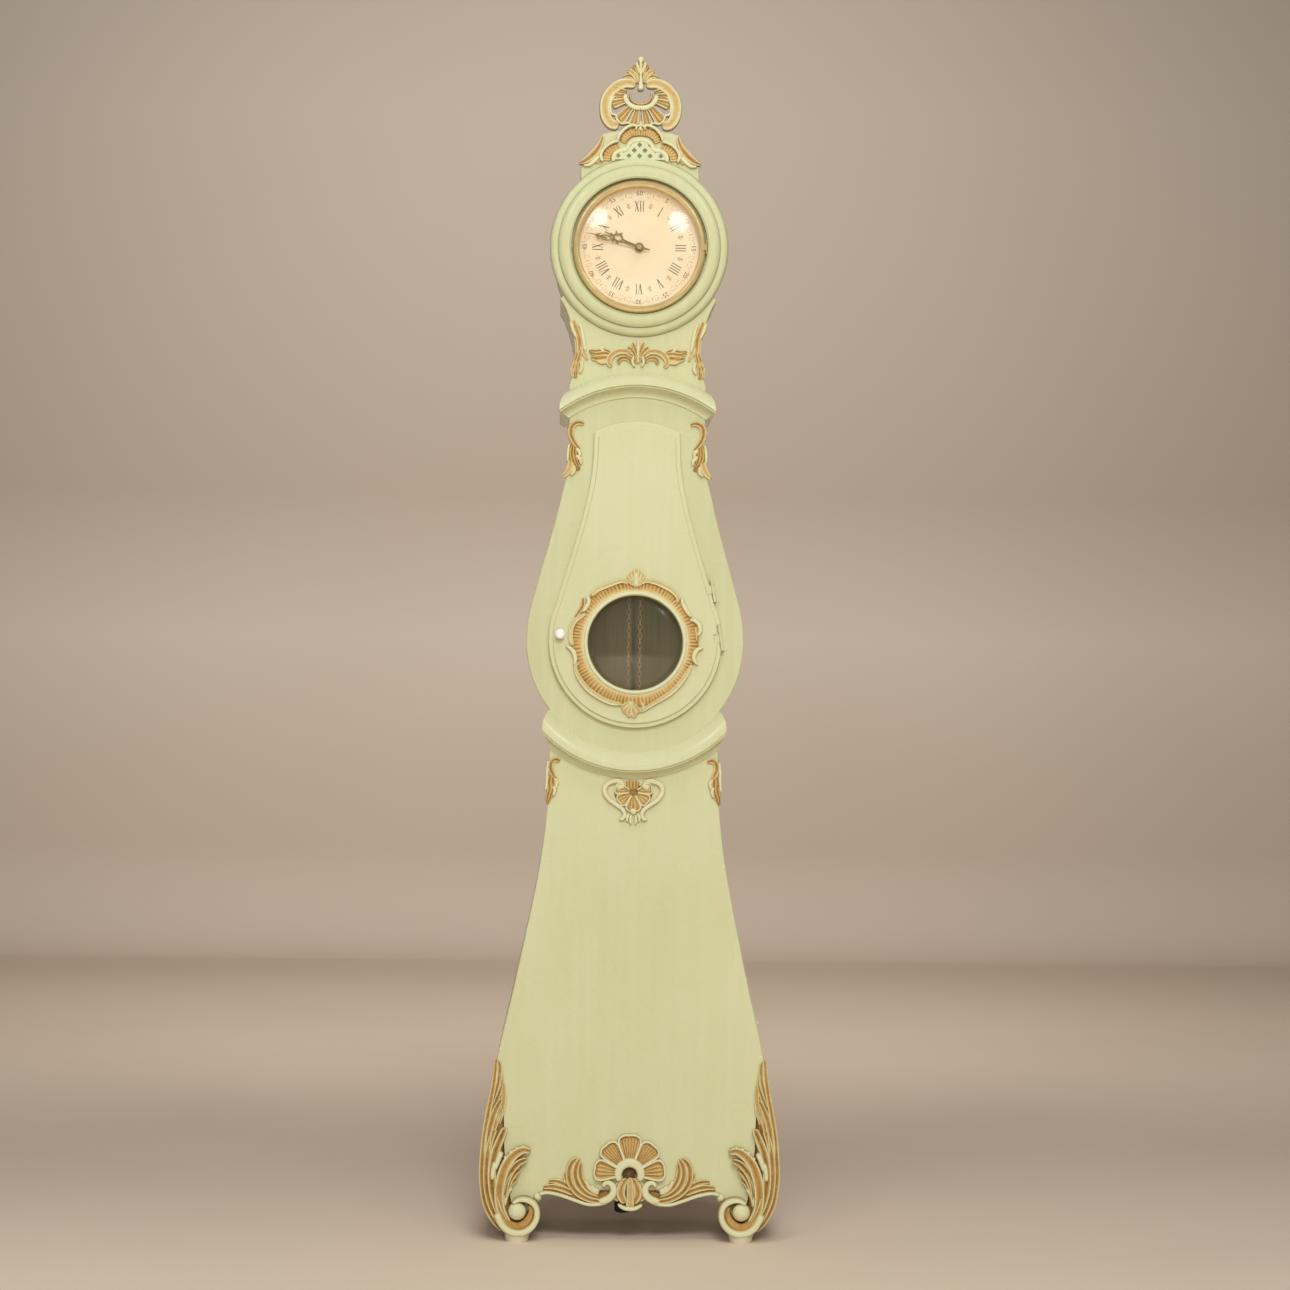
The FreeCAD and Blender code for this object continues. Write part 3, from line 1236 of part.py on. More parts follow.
def make_dial():
    """Dial plate on four feet, the two hands and the nut."""
    dial_front = front_y + dial_setback
    dial_back = dial_front + dial_thickness
    feet = []
    for x in (-plate_half_width + pillar_inset, plate_half_width - pillar_inset):
        for z in (dial_z - plate_below + pillar_inset * 2, dial_z + plate_above - pillar_inset * 3):
            feet.append(rod(dial_foot_radius, dial_back, front_plate_front, x, z))
    plate = tube(dial_radius, dial_hole_radius, dial_front, dial_back, 0, dial_z)
    save("dial_plate", joined([plate] + feet))
    hour_y = front_y - hour_hand_front + hand_thickness
    hour = hand_blank(hour_hand_length, hour_hand_lobe_shares, hour_y, hour_pipe_radius, hour_hand_angle)
    save("hour_hand", hour)
    minute_y = nut_back_y + hand_thickness
    tail_half = hand_tail_length * 0.06
    tail = box(-tail_half, tail_half, nut_back_y, minute_y, -hand_tail_length, 0)
    tail.rotate(origin, axis_y, minute_hand_angle)
    tail.translate(at(0, dial_z))
    minute = hand_blank(
        minute_hand_length, minute_hand_lobe_shares, minute_y, cannon_pipe_radius, minute_hand_angle)
    bore = rod(cannon_pipe_radius, minute_y - cut_overrun, minute_y + cut_overrun, 0, dial_z)
    save("minute_hand", joined([minute, tail]).cut(bore))
    nut_front = nut_back_y - hand_nut_height
    nut = softened(rod(hand_nut_radius, nut_front, nut_back_y, 0, dial_z), hand_nut_height * 0.4, nut_front)
    hollow_front = nut_back_y - hand_nut_height * 0.6
    hollow = rod(arbor_radius + running_gap, hollow_front, nut_back_y + cut_overrun, 0, dial_z)
    save("hand_nut", nut.cut(hollow))


def make_seat():
    """Seat board across the hood on two cleats, slotted for the chain."""
    seat_top = dial_z - plate_below
    seat_bottom = seat_top - seat_thickness
    y_from = front_y + seat_setback
    y_to = y_from + seat_depth
    inner = prism(hood_outline(hood_side_thickness, shoulder_z - hood_top_thickness), y_from, y_to)
    slab = box(-belly_radius, belly_radius, y_from, y_to, seat_bottom, seat_top)
    slot = box(
        -seat_slot_half_width, seat_slot_half_width, chain_y - seat_slot_depth / 2,
        chain_y + seat_slot_depth / 2, seat_bottom - cut_overrun, seat_top + cut_overrun)
    pieces = [inner.common(slab).cut(slot)]
    reach = neck_half_width - hood_side_thickness - cut_overrun
    for side in (-1, 1):
        low, high = sorted((side * (reach - cleat_width / 4), side * belly_radius))
        pieces.append(inner.common(box(low, high, y_from, y_to, seat_bottom - cleat_width, seat_bottom)))
    save("seat_board", Part.makeCompound(pieces))


def make_pendulum():
    """Pendulum: spring, rod, bob below the window and rating nut."""
    spring_bottom = anchor_z - suspension_length
    half = suspension_width / 2
    spring = box(
        -suspension_thickness / 2, suspension_thickness / 2, pendulum_y - half, pendulum_y + half,
        spring_bottom, anchor_z + cock_height)
    eye = Part.makeCylinder(
        pivot_radius * 1.5, cock_slot, at(-cock_slot / 2, cock_pin_z, pendulum_y), at(1, 0))
    bob_z = anchor_z - pendulum_length
    rod_bottom = bob_z - bob_radius - rod_tail
    staff = Part.makeCylinder(pendulum_rod_radius, spring_bottom - rod_bottom, at(0, rod_bottom, pendulum_y))
    save("pendulum_rod", joined([spring.cut(eye), staff]))
    ball = (bob_radius ** 2 + (bob_thickness / 2) ** 2) / bob_thickness
    front = Part.makeSphere(ball, at(0, bob_z, pendulum_y + ball - bob_thickness / 2))
    back = Part.makeSphere(ball, at(0, bob_z, pendulum_y - ball + bob_thickness / 2))
    channel = Part.makeCylinder(
        pendulum_rod_radius, bob_radius * 4, at(0, bob_z - bob_radius * 2, pendulum_y))
    save("pendulum_bob", front.common(back).cut(channel))
    nut_bottom = bob_z - bob_radius - rating_nut_height
    nut = Part.makeCylinder(rating_nut_radius, rating_nut_height, at(0, nut_bottom, pendulum_y))
    save("rating_nut", nut.cut(channel))


def make_weight():
    """Driving weight with its hook on the left strand, where the falling weight turns the train."""
    x = -sprocket_radius
    weight_top = weight_bottom_z + weight_length
    hook_top = weight_top + weight_hook_length
    body = Part.makeCylinder(weight_radius, weight_length, at(x, weight_bottom_z, chain_y))
    body = body.makeFillet(weight_radius * 0.3, body.Edges)
    eye_radius = weight_hook_length * 0.2
    eye_z = hook_top - eye_radius - weight_hook_wire
    stem_height = eye_z - eye_radius - weight_top
    stem = Part.makeCylinder(weight_hook_wire, stem_height, at(x, weight_top, chain_y))
    eye = Part.makeTorus(eye_radius, weight_hook_wire, at(x, eye_z, chain_y), axis_y)
    save("driving_weight", joined([body, stem, eye]))
    strand = Part.makeCylinder(chain_radius, great_z - hook_top, at(x, hook_top, chain_y))
    save("chain_weight_strand", strand)


def make_free_strand():
    """The free strand: over the sprocket, down on the right, and turned up again to hook on itself."""
    x = sprocket_radius
    radius = chain_loop_radius
    bottom_z = chain_loop_bottom_z + chain_radius + radius
    near_x = x + chain_radius * 2 + running_gap * 4
    reach = chain_loop_top_z - bottom_z
    lean = math.atan((2 * radius - (near_x - x)) / reach)
    turn_x = x + radius
    lowest = at(turn_x, bottom_z - radius, chain_y)
    turn_end = at(turn_x + radius * math.cos(lean), bottom_z + radius * math.sin(lean), chain_y)
    run = reach / math.cos(lean) * 0.97
    end = at(turn_end.x - run * math.sin(lean), turn_end.z + run * math.cos(lean), chain_y)
    path = [
        arc(at(-x, great_z, chain_y), at(0, great_z + x, chain_y), at(x, great_z, chain_y)),
        line(at(x, great_z, chain_y), at(x, bottom_z, chain_y)),
        arc(at(x, bottom_z, chain_y), lowest, turn_end),
        line(turn_end, end),
    ]
    section = Part.Wire(Part.makeCircle(chain_radius, at(-x, great_z, chain_y), at(0, 1)))
    strand = Part.Wire(path).makePipeShell([section], True, False)
    hook = Part.makeTorus(
        chain_hook_radius, chain_hook_wire, at((x + end.x) / 2, end.z - chain_hook_wire * 2, chain_y))
    save("chain_free_strand", Part.makeCompound([strand, hook]))
    print("free strand", round(Part.Wire(path).Length), "long; gap at the hook", round(
        end.x - x - chain_radius * 2, 3))


def make_carvings():
    """The carved ornaments, each a group of scrolls and leaves on the board that carries it."""
    block = prism(hood_front_outline(), front_y - cut_overrun, board_back_y + cut_overrun)
    crest_back = front_y + (front_board_thickness + crest_thickness) / 2 - edge_round * 2
    crest = carving(
        crest_strokes_shares, crest_carving_width, (0, block_z + block_arch), crest_back,
        crest_thickness, True)
    save("crest_carving", crest.cut(block))
    ring_top = dial_z + ring_outer_radius
    ring_space = rod(ring_outer_radius, front_y - ring_height * 2, board_back_y, 0, dial_z)
    cartouche = make_cartouche(ring_top).cut(ring_space).cut(parts["hood_ring_moulding"])
    save("cartouche_carving", cartouche.cut(crest))
    reach = front_board_thickness + small_carving_height
    leaf = carving(bracket_shares, cartouche_carving_width, (0, shoulder_z), board_back_y, reach)
    leaf = leaf.cut(block).cut(ring_space).cut(parts["cartouche_carving"]).cut(parts["hood_top_board"])
    save("bracket_leaves", Part.makeCompound([leaf, mirrored(leaf)]))
    centre = carving(
        neck_strokes_shares, neck_carving_width, (0, neck_carving_z), front_y, carving_height, True)
    sides = pair(neck_side_strokes_shares, strip_width, neck_half_width, neck_z, small_carving_height)
    save("neck_carvings", Part.makeCompound([centre, sides]))
    trunk = pair(
        trunk_side_strokes_shares, strip_width, trunk_top_half_width, trunk_straight_z, small_carving_height)
    save("trunk_side_carvings", trunk)
    shell_z = window_z - lower_cornice_end_radius - shell_carving_width * shell_drop_share
    shell = carving(shell_strokes_shares, shell_carving_width, (0, shell_z), front_y, carving_height, True)
    corner_z = base_straight_z - strip_width * corner_drop_share
    corners = pair(
        base_side_strokes_shares, strip_width, base_top_half_width, corner_z, small_carving_height)
    cornice_space = parts["lower_cornice_front"]
    save("base_top_carvings", Part.makeCompound([shell.cut(cornice_space), corners.cut(cornice_space)]))
    foot = carving(
        foot_strokes_shares, foot_carving_width, (foot_scroll_x, foot_scroll_z), front_y,
        foot_carving_height)
    ball = rod(foot_ball_radius, front_y - foot_carving_height, front_y, foot_scroll_x, foot_scroll_z)
    foot = joined([foot, ball]).cut(parts["front_foot_pads"])
    save("foot_carvings", Part.makeCompound([foot, mirrored(foot)]))
    apron = carving(
        apron_strokes_shares, apron_carving_width, (0, apron_z), front_y, apron_carving_height, True)
    hole_z = apron_z + apron_carving_width * apron_hole_share
    hole = rod(apron_hole_radius, front_y - apron_carving_height * 2, front_y + cut_overrun, 0, hole_z)
    save("apron_carving", apron.cut(hole).cut(foot).cut(mirrored(foot)))


def make_cartouche(ring_top):
    """The lobed frame over the dial ring with its sunk panel of small square holes."""
    frame = carving(
        cartouche_strokes_shares, cartouche_carving_width, (0, ring_top), front_y, carving_height, True)
    corners = [
        at(x * cartouche_carving_width, ring_top + z * cartouche_carving_width) for x,
        z in cartouche_panel_shares]
    half = [line(first, second) for first, second in zip(corners, corners[1:])]
    bottom = line(corners[0], at(-corners[0].x, corners[0].z))
    panel = prism(both_sides(half) + [bottom], front_y - carving_height / 2, front_y)
    holes = []
    for row in range(lattice_rows):
        count = lattice_columns - row
        for number in range(count):
            middle = at((number - (count - 1) / 2) * lattice_pitch, ring_top + (row + 1) * lattice_pitch / 2)
            half_hole = lattice_hole / 2
            hole = box(
                -half_hole, half_hole, front_y - carving_height, front_y - panel_floor, -half_hole,
                half_hole)
            hole.rotate(origin, axis_y, 45)
            hole.translate(middle)
            holes.append(hole)
    return joined([frame, panel]).cut(Part.makeCompound(holes))


def main():
    os.makedirs("parts", exist_ok=True)
    make_base()
    make_trunk()
    make_hood()
    make_cornices()
    make_door()
    make_bezel()
    make_seat()
    make_dial()
    make_movement()
    make_pendulum()
    make_weight()
    make_free_strand()
    make_carvings()
    for name, shape in parts.items():
        shape.exportStep("parts/" + name + ".step")
        limits = shape.BoundBox
        corners = [round(value, 2) for value in (
            limits.XMin, limits.YMin, limits.ZMin, limits.XMax, limits.YMax, limits.ZMax)]
        print(name, len(shape.Solids), "solids", "valid" if shape.isValid() else "NOT VALID", corners)
    print(len(parts), "nodes; front", front_y, "back", back_y)


main()
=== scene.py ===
import json
import bpy
import numpy as np
from mathutils import Matrix, Vector


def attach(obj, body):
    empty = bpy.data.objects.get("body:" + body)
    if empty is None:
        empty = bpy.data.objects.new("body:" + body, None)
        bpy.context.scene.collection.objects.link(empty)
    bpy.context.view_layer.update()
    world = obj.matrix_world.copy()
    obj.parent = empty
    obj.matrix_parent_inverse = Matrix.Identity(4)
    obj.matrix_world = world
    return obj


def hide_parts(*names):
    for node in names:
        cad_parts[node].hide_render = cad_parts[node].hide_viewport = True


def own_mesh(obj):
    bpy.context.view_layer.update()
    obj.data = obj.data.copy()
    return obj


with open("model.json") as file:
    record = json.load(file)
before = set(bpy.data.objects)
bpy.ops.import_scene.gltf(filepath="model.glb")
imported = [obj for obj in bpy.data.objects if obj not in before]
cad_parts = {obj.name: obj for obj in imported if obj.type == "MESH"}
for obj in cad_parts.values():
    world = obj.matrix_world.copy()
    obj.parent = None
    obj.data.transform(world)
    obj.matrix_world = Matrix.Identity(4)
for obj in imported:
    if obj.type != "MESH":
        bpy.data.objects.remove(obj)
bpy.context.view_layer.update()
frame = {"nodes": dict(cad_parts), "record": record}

nodes = frame["nodes"]
scene = bpy.context.scene
mm = 0.001
rng = np.random.default_rng(7)

# Places in millimetres: depths that the carved and painted pieces sit on, heights and other centres
front = -103.0
door_face = -116.8
dial_face = -102.0
let_in = 0.5
carving_back = front + let_in
crest_back, crest_wall = -88.0, 10.0
bracket_back, bracket_wall = -92.0, 12.0
minute_hand_back, hour_hand_back = -110.02, -106.42
dial_z = 1763.5
window_z = 1058.8
great_z = 1723.5
chain_y = -45.4
knob_x, knob_z = -133.5, 1073.0
stage_depth = 6200.0

# The photograph: millimetres to a pixel, rows of the finial and the floor, and the clock's middle line
pixel = 1.775
photo_top, photo_floor = 57.0, 1240.0
photo_middle, photo_lean = 643.0, 0.0123


# Finishes


def tint(code):
    """A colour written as six hex digits, turned to the linear values that shaders take."""
    values = [int(code[i:i + 2], 16) / 255 for i in (0, 2, 4)]
    return tuple(v / 12.92 if v <= 0.04045 else ((v + 0.055) / 1.055) ** 2.4 for v in values) + (1.0,)


class Value:
    """A socket in a material. Sums, differences, products and powers of it add Math nodes."""

    def __init__(self, tree, socket):
        self.tree, self.socket = tree, socket

    def math(self, operation, *values):
        node = self.tree.nodes.new("ShaderNodeMath")
        node.operation = operation
        for place, value in zip(node.inputs, values):
            connect(self.tree, place, value)
        return Value(self.tree, node.outputs[0])

    def __add__(self, other):
        return self.math("ADD", self, other)

    def __sub__(self, other):
        return self.math("SUBTRACT", self, other)

    def __mul__(self, other):
        return self.math("MULTIPLY", self, other)

    def __pow__(self, other):
        return self.math("POWER", self, other)


def connect(tree, place, value):
    """Links a socket to a place, or writes a plain value or the colour of a code there."""
    if isinstance(value, Value):
        tree.links.new(value.socket, place)
    else:
        place.default_value = tint(value) if isinstance(value, str) else value


class Finish:
    """A material built from nodes on the piece's own coordinates."""

    def __init__(self, name):
        self.material = bpy.data.materials.new(name)
        self.material.use_nodes = True
        self.tree = self.material.node_tree
        self.tree.nodes.clear()
        self.place = self.node("ShaderNodeTexCoord", output="Object")

    def node(self, kind, settings=None, inputs=None, output=0):
        """Adds a node: its settings first, then the values or links of its sockets."""
        node = self.tree.nodes.new(kind)
        for key, value in (settings or {}).items():
            if key == "stops":
                ramp = node.color_ramp
                while len(ramp.elements) < len(value):
                    ramp.elements.new(0.5)
                for element, (at, code) in zip(ramp.elements, value):
                    element.position, element.color = at, tint(code)
            else:
                setattr(node, key, value)
        for key, value in (inputs or {}).items():
            connect(self.tree, node.inputs[key], value)
        return Value(self.tree, node.outputs[output])

    def axes(self):
        """The piece's own coordinates taken apart: across, depth and height in metres."""
        split = self.node("ShaderNodeSeparateXYZ", inputs={0: self.place}).socket.node
        return [Value(self.tree, socket) for socket in split.outputs]

    def reach(self, height):
        """The distance from a level axis that runs in depth through the middle line at a height."""
        across, _, up = self.axes()
        over = up - height
        return (across * across + over * over) ** 0.5

    def noise(self, scale, detail=3.0, stretch=(1.0, 1.0, 1.0), rough=0.5):
        """Cloudy noise from 0 to 1, drawn out along an axis by a small share there."""
        place = self.node("ShaderNodeMapping", inputs={"Vector": self.place, "Scale": stretch})
        return self.node("ShaderNodeTexNoise", inputs={"Vector": place, "Scale": scale, "Detail": detail,
                                                       "Roughness": rough})

    def step(self, value, low, high):
        """A smooth step from 0 at low to 1 at high."""
        return self.node("ShaderNodeMapRange", {"interpolation_type": "SMOOTHSTEP"},
                         {"Value": value, "From Min": low, "From Max": high})

    def mix(self, share, one, other):
        """One colour turning into the other as the share goes from 0 to 1."""
        return self.node("ShaderNodeMix", {"data_type": "RGBA"}, {0: share, 6: one, 7: other}, 2)

    def over(self, colour, tone, field, low, high, share=1.0):
        """A colour with a share of another tone over it where a field goes from low to high."""
        return self.mix(self.step(field, low, high) * share, colour, tone)

    def done(self, surface):
        """Ends the material in a surface."""
        self.tree.links.new(surface.socket, self.tree.nodes.new("ShaderNodeOutputMaterial").inputs[0])
        return self.material

    def shade(self, inputs, height=None, depth=0.0001):
        """Ends the material in a plain surface, with a relief of the given depth in metres."""
        if height is not None:
            relief = {"Height": height, "Strength": 1.0, "Distance": depth}
            inputs = {**inputs, "Normal": self.node("ShaderNodeBump", inputs=relief)}
        return self.done(self.node("ShaderNodeBsdfPrincipled", inputs=inputs))


def green_paint(name, light="D8D7AB", deep="D0CF9E", worn_foot=False, grooves=()):
    """Pale green oil paint: slow drifts of tone, faint brush marks, a satin gloss. Darker lines of painted
    shade can sit along rings turned about the dial at given radii in metres."""
    f = Finish(name)
    drift = f.noise(2.6, 4.0)
    brush = f.noise(60.0, 3.0, (1.0, 1.0, 0.05))
    colour = f.over(deep, light, drift, 0.3, 0.7)
    colour = f.over(colour, "DCDBB4", brush, 0.35, 0.75, 0.25)
    colour = f.over(colour, "B9B584", f.noise(420.0, 1.0), 0.73, 0.8, 0.22)
    if worn_foot:
        colour = f.over(colour, "DCCFC0", f.axes()[2] + f.noise(90.0) * 0.004, 0.0085, 0.0055)
    # Painted shade: darker green lines along the steps of the turned ring moulding
    for radius in grooves:
        away = f.reach(dial_z * mm) - radius
        colour = f.over(colour, "9C9E76", away.math("ABSOLUTE", away), 0.0017, 0.0002, 0.7)
    rough = f.noise(9.0, 2.0) * 0.14 + 0.2
    return f.shade({"Base Color": colour, "Roughness": rough, "Coat Weight": 0.2, "Coat Roughness": 0.12},
                   brush * 0.5 + f.noise(700.0, 1.0) * 0.5, 0.00005)


def gilt_paint(name, stops):
    """Carved wood in two colours: the lighter one over the ridges, the others as the wood goes deeper. The
    darkest browns, at the carving's edges and side walls, are painted shade.
    """
    f = Finish(name)
    depth = f.node("ShaderNodeAttribute", {"attribute_name": "gilt"}, output=2)
    streak = f.noise(240.0, 3.0)
    cloud = f.noise(45.0, 2.0)
    depth = depth + (streak - 0.5) * 0.3 + (cloud - 0.5) * 0.22
    colour = f.node("ShaderNodeValToRGB", {"stops": stops}, {0: depth})
    colour = f.over(colour, "E9E6C6", streak, 0.66, 0.8, 0.45)
    return f.shade({"Base Color": colour, "Roughness": cloud * 0.2 + 0.26, "Coat Weight": 0.15,
                    "Coat Roughness": 0.2}, streak, 0.0002)


def metal(name, light, deep, rough, grain=(1.0, 1.0, 1.0), spots=0.3, scale=60.0, bare=1.0):
    """Metal with a drift of tarnish and fine scratches along one way, bare or under a share of lacquer."""
    f = Finish(name)
    cloud = f.noise(scale, 4.0)
    scratch = f.noise(900.0, 2.0, grain)
    colour = f.over(light, deep, cloud, 0.35, 0.72, spots)
    rough = cloud * 0.16 + scratch * 0.08 + rough
    return f.shade({"Base Color": colour, "Metallic": bare, "Roughness": rough}, scratch, 0.000002)


def dial_paint(name):
    """Cream painted dial, a little warmer in clouds, with fine specks."""
    f = Finish(name)
    colour = f.over("FFECC7", "FFE4BA", f.noise(14.0, 3.0), 0.3, 0.75)
    colour = f.over(colour, "D8BE95", f.noise(600.0, 1.0), 0.74, 0.82, 0.3)
    return f.shade({"Base Color": colour, "Roughness": f.noise(30.0) * 0.1 + 0.34}, f.noise(400.0), 0.00002)


def ink(name, code, pale):
    """Printed ink, slightly broken where the paint under it shows."""
    f = Finish(name)
    colour = f.over(code, pale, f.noise(900.0, 2.0), 0.55, 0.75, 0.5)
    return f.shade({"Base Color": colour, "Roughness": 0.5})


def clear_glass(name, film):
    """Thin clear clock glass with a diffuse film, part dirt and part painted light: it shows what is behind
    it, lightened by the film, and mirrors more at its rim.
    """
    f = Finish(name)
    haze = f.step(f.noise(25.0, 4.0), 0.5, 0.9)
    mirror = f.node("ShaderNodeBsdfGlossy", inputs={"Color": "FFFFFF", "Roughness": haze * 0.08 + 0.1})
    through = f.node("ShaderNodeBsdfTransparent", inputs={"Color": "FFFFFF"})
    rim = f.node("ShaderNodeLayerWeight", inputs={"Blend": 0.5}, output=1)
    dust_and_light_veil = f.node("ShaderNodeBsdfDiffuse", inputs={"Color": "A59C76"})
    pane = f.node("ShaderNodeMixShader", inputs={0: haze * 0.04 + film, 1: through, 2: dust_and_light_veil})
    return f.done(f.node("ShaderNodeMixShader", inputs={0: rim ** 4.0 * 0.6 + 0.035, 1: pane, 2: mirror}))


def porcelain(name):
    """White glazed porcelain."""
    f = Finish(name)
    colour = f.over("F8F5EE", "EFEADF", f.noise(60.0), 0.4, 0.8)
    return f.shade({"Base Color": colour, "Roughness": f.noise(80.0) * 0.06 + 0.06, "Coat Weight": 0.6,
                    "Coat Roughness": 0.03})


def bare_pine(name):
    """Planed pine: long grain bands, darker late wood lines and a dry surface."""
    f = Finish(name)
    grain = f.noise(38.0, 6.0, (1.0, 1.0, 0.06), 0.62)
    line = f.noise(190.0, 3.0, (1.0, 1.0, 0.03))
    colour = f.over("A58F64", "7F6C49", grain, 0.3, 0.75)
    colour = f.over(colour, "65502F", line, 0.56, 0.72, 0.6)
    return f.shade({"Base Color": colour, "Roughness": line * 0.2 + 0.6}, line, 0.0002)


def cast_iron(name):
    """Black cast iron with a coarse skin and worn brown spots."""
    f = Finish(name)
    skin = f.noise(220.0, 4.0)
    colour = f.over("2B2A29", "4A3E34", f.noise(30.0, 4.0), 0.5, 0.75)
    return f.shade({"Base Color": colour, "Metallic": 0.6, "Roughness": skin * 0.3 + 0.4}, skin, 0.0004)


def chalk(name):
    """White ground that shows where the paint has chipped."""
    f = Finish(name)
    colour = f.mix(f.noise(300.0), "F4F0E6", "E2DCCB")
    return f.shade({"Base Color": colour, "Roughness": f.noise(200.0) * 0.2 + 0.55})


def studio(name, bands):
    """Seamless studio paper with painted light and shade: bands of tone up the wall and towards the viewer,
    darker to the right.
    """
    f = Finish(name)
    across, depth, height = f.axes()
    low, high = bands[0][0], bands[-1][0]
    share = (height + depth * 0.15 - (stage_depth * mm * 0.15 + low)) * (1.0 / (high - low))
    stops = [((at - low) / (high - low), code) for at, code in bands]
    colour = f.node("ShaderNodeValToRGB", {"stops": stops}, {0: share})
    colour = f.over(colour, "8E7D6B", across, -3.0, 3.5, 0.1)
    colour = f.over(colour, "A3917F", f.noise(0.7, 3.0), 0.35, 0.75, 0.12)
    return f.shade({"Base Color": colour, "Roughness": 0.8})


paint = green_paint("pale_green_paint", "D6D4A6", "CFCC9C")
# Painted shade: the hood and the trunk board get darker copies of the same paint.
shaded_hood_paint = green_paint("pale_green_paint_hood", "D1D0A0", "CCCA99", grooves=(0.1232, 0.1442, 0.1597))
shaded_trunk_paint = green_paint("pale_green_paint_trunk_painted_shade", "CFCD9F", "C8C595")
foot_paint = green_paint("pale_green_paint_worn_foot", worn_foot=True)
# Gold glaze lies in the carvings' hollows; the two darkest stops are painted shade at their edges and sides.
gilt = gilt_paint("green_and_gold_carving_painted_shade", [(0.0, "DFDDB4"), (0.2, "DBD3A2"), (0.42, "D5BB80"),
                                            (0.66, "C59C58"), (0.88, "8F682F"), (1.0, "553A18")])
# Painted shade: the dark end of this ramp fills the lattice holes.
pierced = gilt_paint("green_lattice_painted_shade", [(0.0, "D8D7AC"), (0.45, "CFCDA2"), (0.8, "A3A284"), (1.0, "85866B")])
bezel_brass = metal("lacquered_brass", "F8DEA2", "DAB06C", 0.2, bare=0.62)
hand_brass = metal("pressed_brass_hands", "B0955F", "84703F", 0.32, spots=0.6, scale=200.0, bare=0.4)
# Painted light: the chain's brass is paler and less metallic than the gear brass, to stand in for light the
# dim inside of the case lacks.
chain_brass_painted_light = metal("brassy_chain_painted_light", "F0C488", "B98652", 0.28, spots=0.7, scale=150.0, bare=0.3)
dark_rod = metal("browned_rod", "57503F", "3C372C", 0.4, (1.0, 1.0, 0.1))
gear_brass = metal("gear_brass", "C79A4B", "8C6830", 0.24, (1.0, 1.0, 0.2))
steel = metal("oiled_steel", "8A8B8D", "55524F", 0.25, (1.0, 1.0, 0.1))
hinge_paint = green_paint("painted_hinge", "D4D2A4", "C9C798")
dial_cream = dial_paint("cream_dial")
numeral_ink = ink("brown_numeral_ink", "5E5244", "7F715D")
scroll_ink = ink("faint_scroll_ink", "B59B7C", "D9C19C")
# The window glass's thicker film is partly painted light: it lightens the dim inside of the case behind it.
glass = clear_glass("window_glass", 0.095)
dial_glass = clear_glass("dial_glass", 0.02)
white_glaze = porcelain("white_porcelain")
pine = bare_pine("bare_pine")
iron = cast_iron("black_cast_iron")
chipped = chalk("white_ground")

by_slot = {"green_paint": paint, "gilt_carving": gilt, "raw_wood": pine, "brass": gear_brass, "steel": steel,
           "cast_iron": iron, "porcelain": white_glaze, "dial_enamel": dial_cream, "glass": glass}
own_finish = {"bezel_ring": bezel_brass, "bezel_hinge": bezel_brass, "hand_nut": bezel_brass,
              "bezel_glass": dial_glass, "pendulum_rod": dark_rod, "trunk_front_board": shaded_trunk_paint,
              "front_foot_pads": foot_paint,
              "door_hinge_case_leaves": hinge_paint, "door_hinge_door_leaves": hinge_paint}
for entry in frame["record"]["subparts"]:
    node = entry["node"]
    own_finish.setdefault(node, by_slot[entry["material_slot"]])
    if node.startswith("hood_") and entry["material_slot"] == "green_paint":
        own_finish[node] = shaded_hood_paint
    nodes[node].data.materials.clear()
    nodes[node].data.materials.append(own_finish[node])


# Surfaces. A shell is its points in millimetres, its faces and a share of gold for each point; its darkest
# values are painted shade.


def closed_sweep(rings, gold, looped=False):
    """Joins rings of points in turn to a closed skin: a grid of four-sided faces over ring number and place
    on the ring, with a cap at each end unless the rings themselves close in a loop. A skin that encloses a
    negative volume is turned the right way out."""
    count, size = rings.shape[:2]
    points = rings.reshape(-1, 3)
    spans = count if looped else count - 1
    i, j = np.meshgrid(np.arange(spans), np.arange(size), indexing="ij")
    i2, j2 = (i + 1) % count, (j + 1) % size
    faces = np.stack([i * size + j, i * size + j2, i2 * size + j2, i2 * size + j], -1).reshape(-1, 4)
    a, b, c, d = (points[faces[:, k]] for k in range(4))
    volume = np.sum(np.cross(a, b) * c) + np.sum(np.cross(a, c) * d)
    caps = [] if looped else [list(range(size))[::-1], list(range((count - 1) * size, count * size))]
    for cap in caps:
        first, rest = points[cap[0]], points[cap]
        volume += np.sum(np.cross(rest[1:-1], rest[2:]) @ first)
    faces = faces.tolist() + caps
    if volume < 0:
        faces = [face[::-1] for face in faces]
    return points, faces, np.broadcast_to(gold, rings.shape[:2]).reshape(-1)


def circle(count):
    """So many angles evenly round a full turn."""
    return np.linspace(0, 2 * np.pi, count, endpoint=False)


def lathe(x, z, radii, depths, steps, gold=0.0):
    """A solid turned about a level axis at a place: a ring of points for each radius and depth."""
    angle = circle(steps)
    rings = np.stack([x + radii[:, None] * np.cos(angle), np.repeat(depths[:, None], steps, 1),
                      z + radii[:, None] * np.sin(angle)], -1)
    return closed_sweep(rings, gold)


def join(shells):
    """One shell from several."""
    points, faces, gold, offset = [], [], [], 0
    for p, f, g in shells:
        points.append(p)
        faces += [[index + offset for index in face] for face in f]
        gold.append(g)
        offset += len(p)
    return np.concatenate(points), faces, np.concatenate(gold)


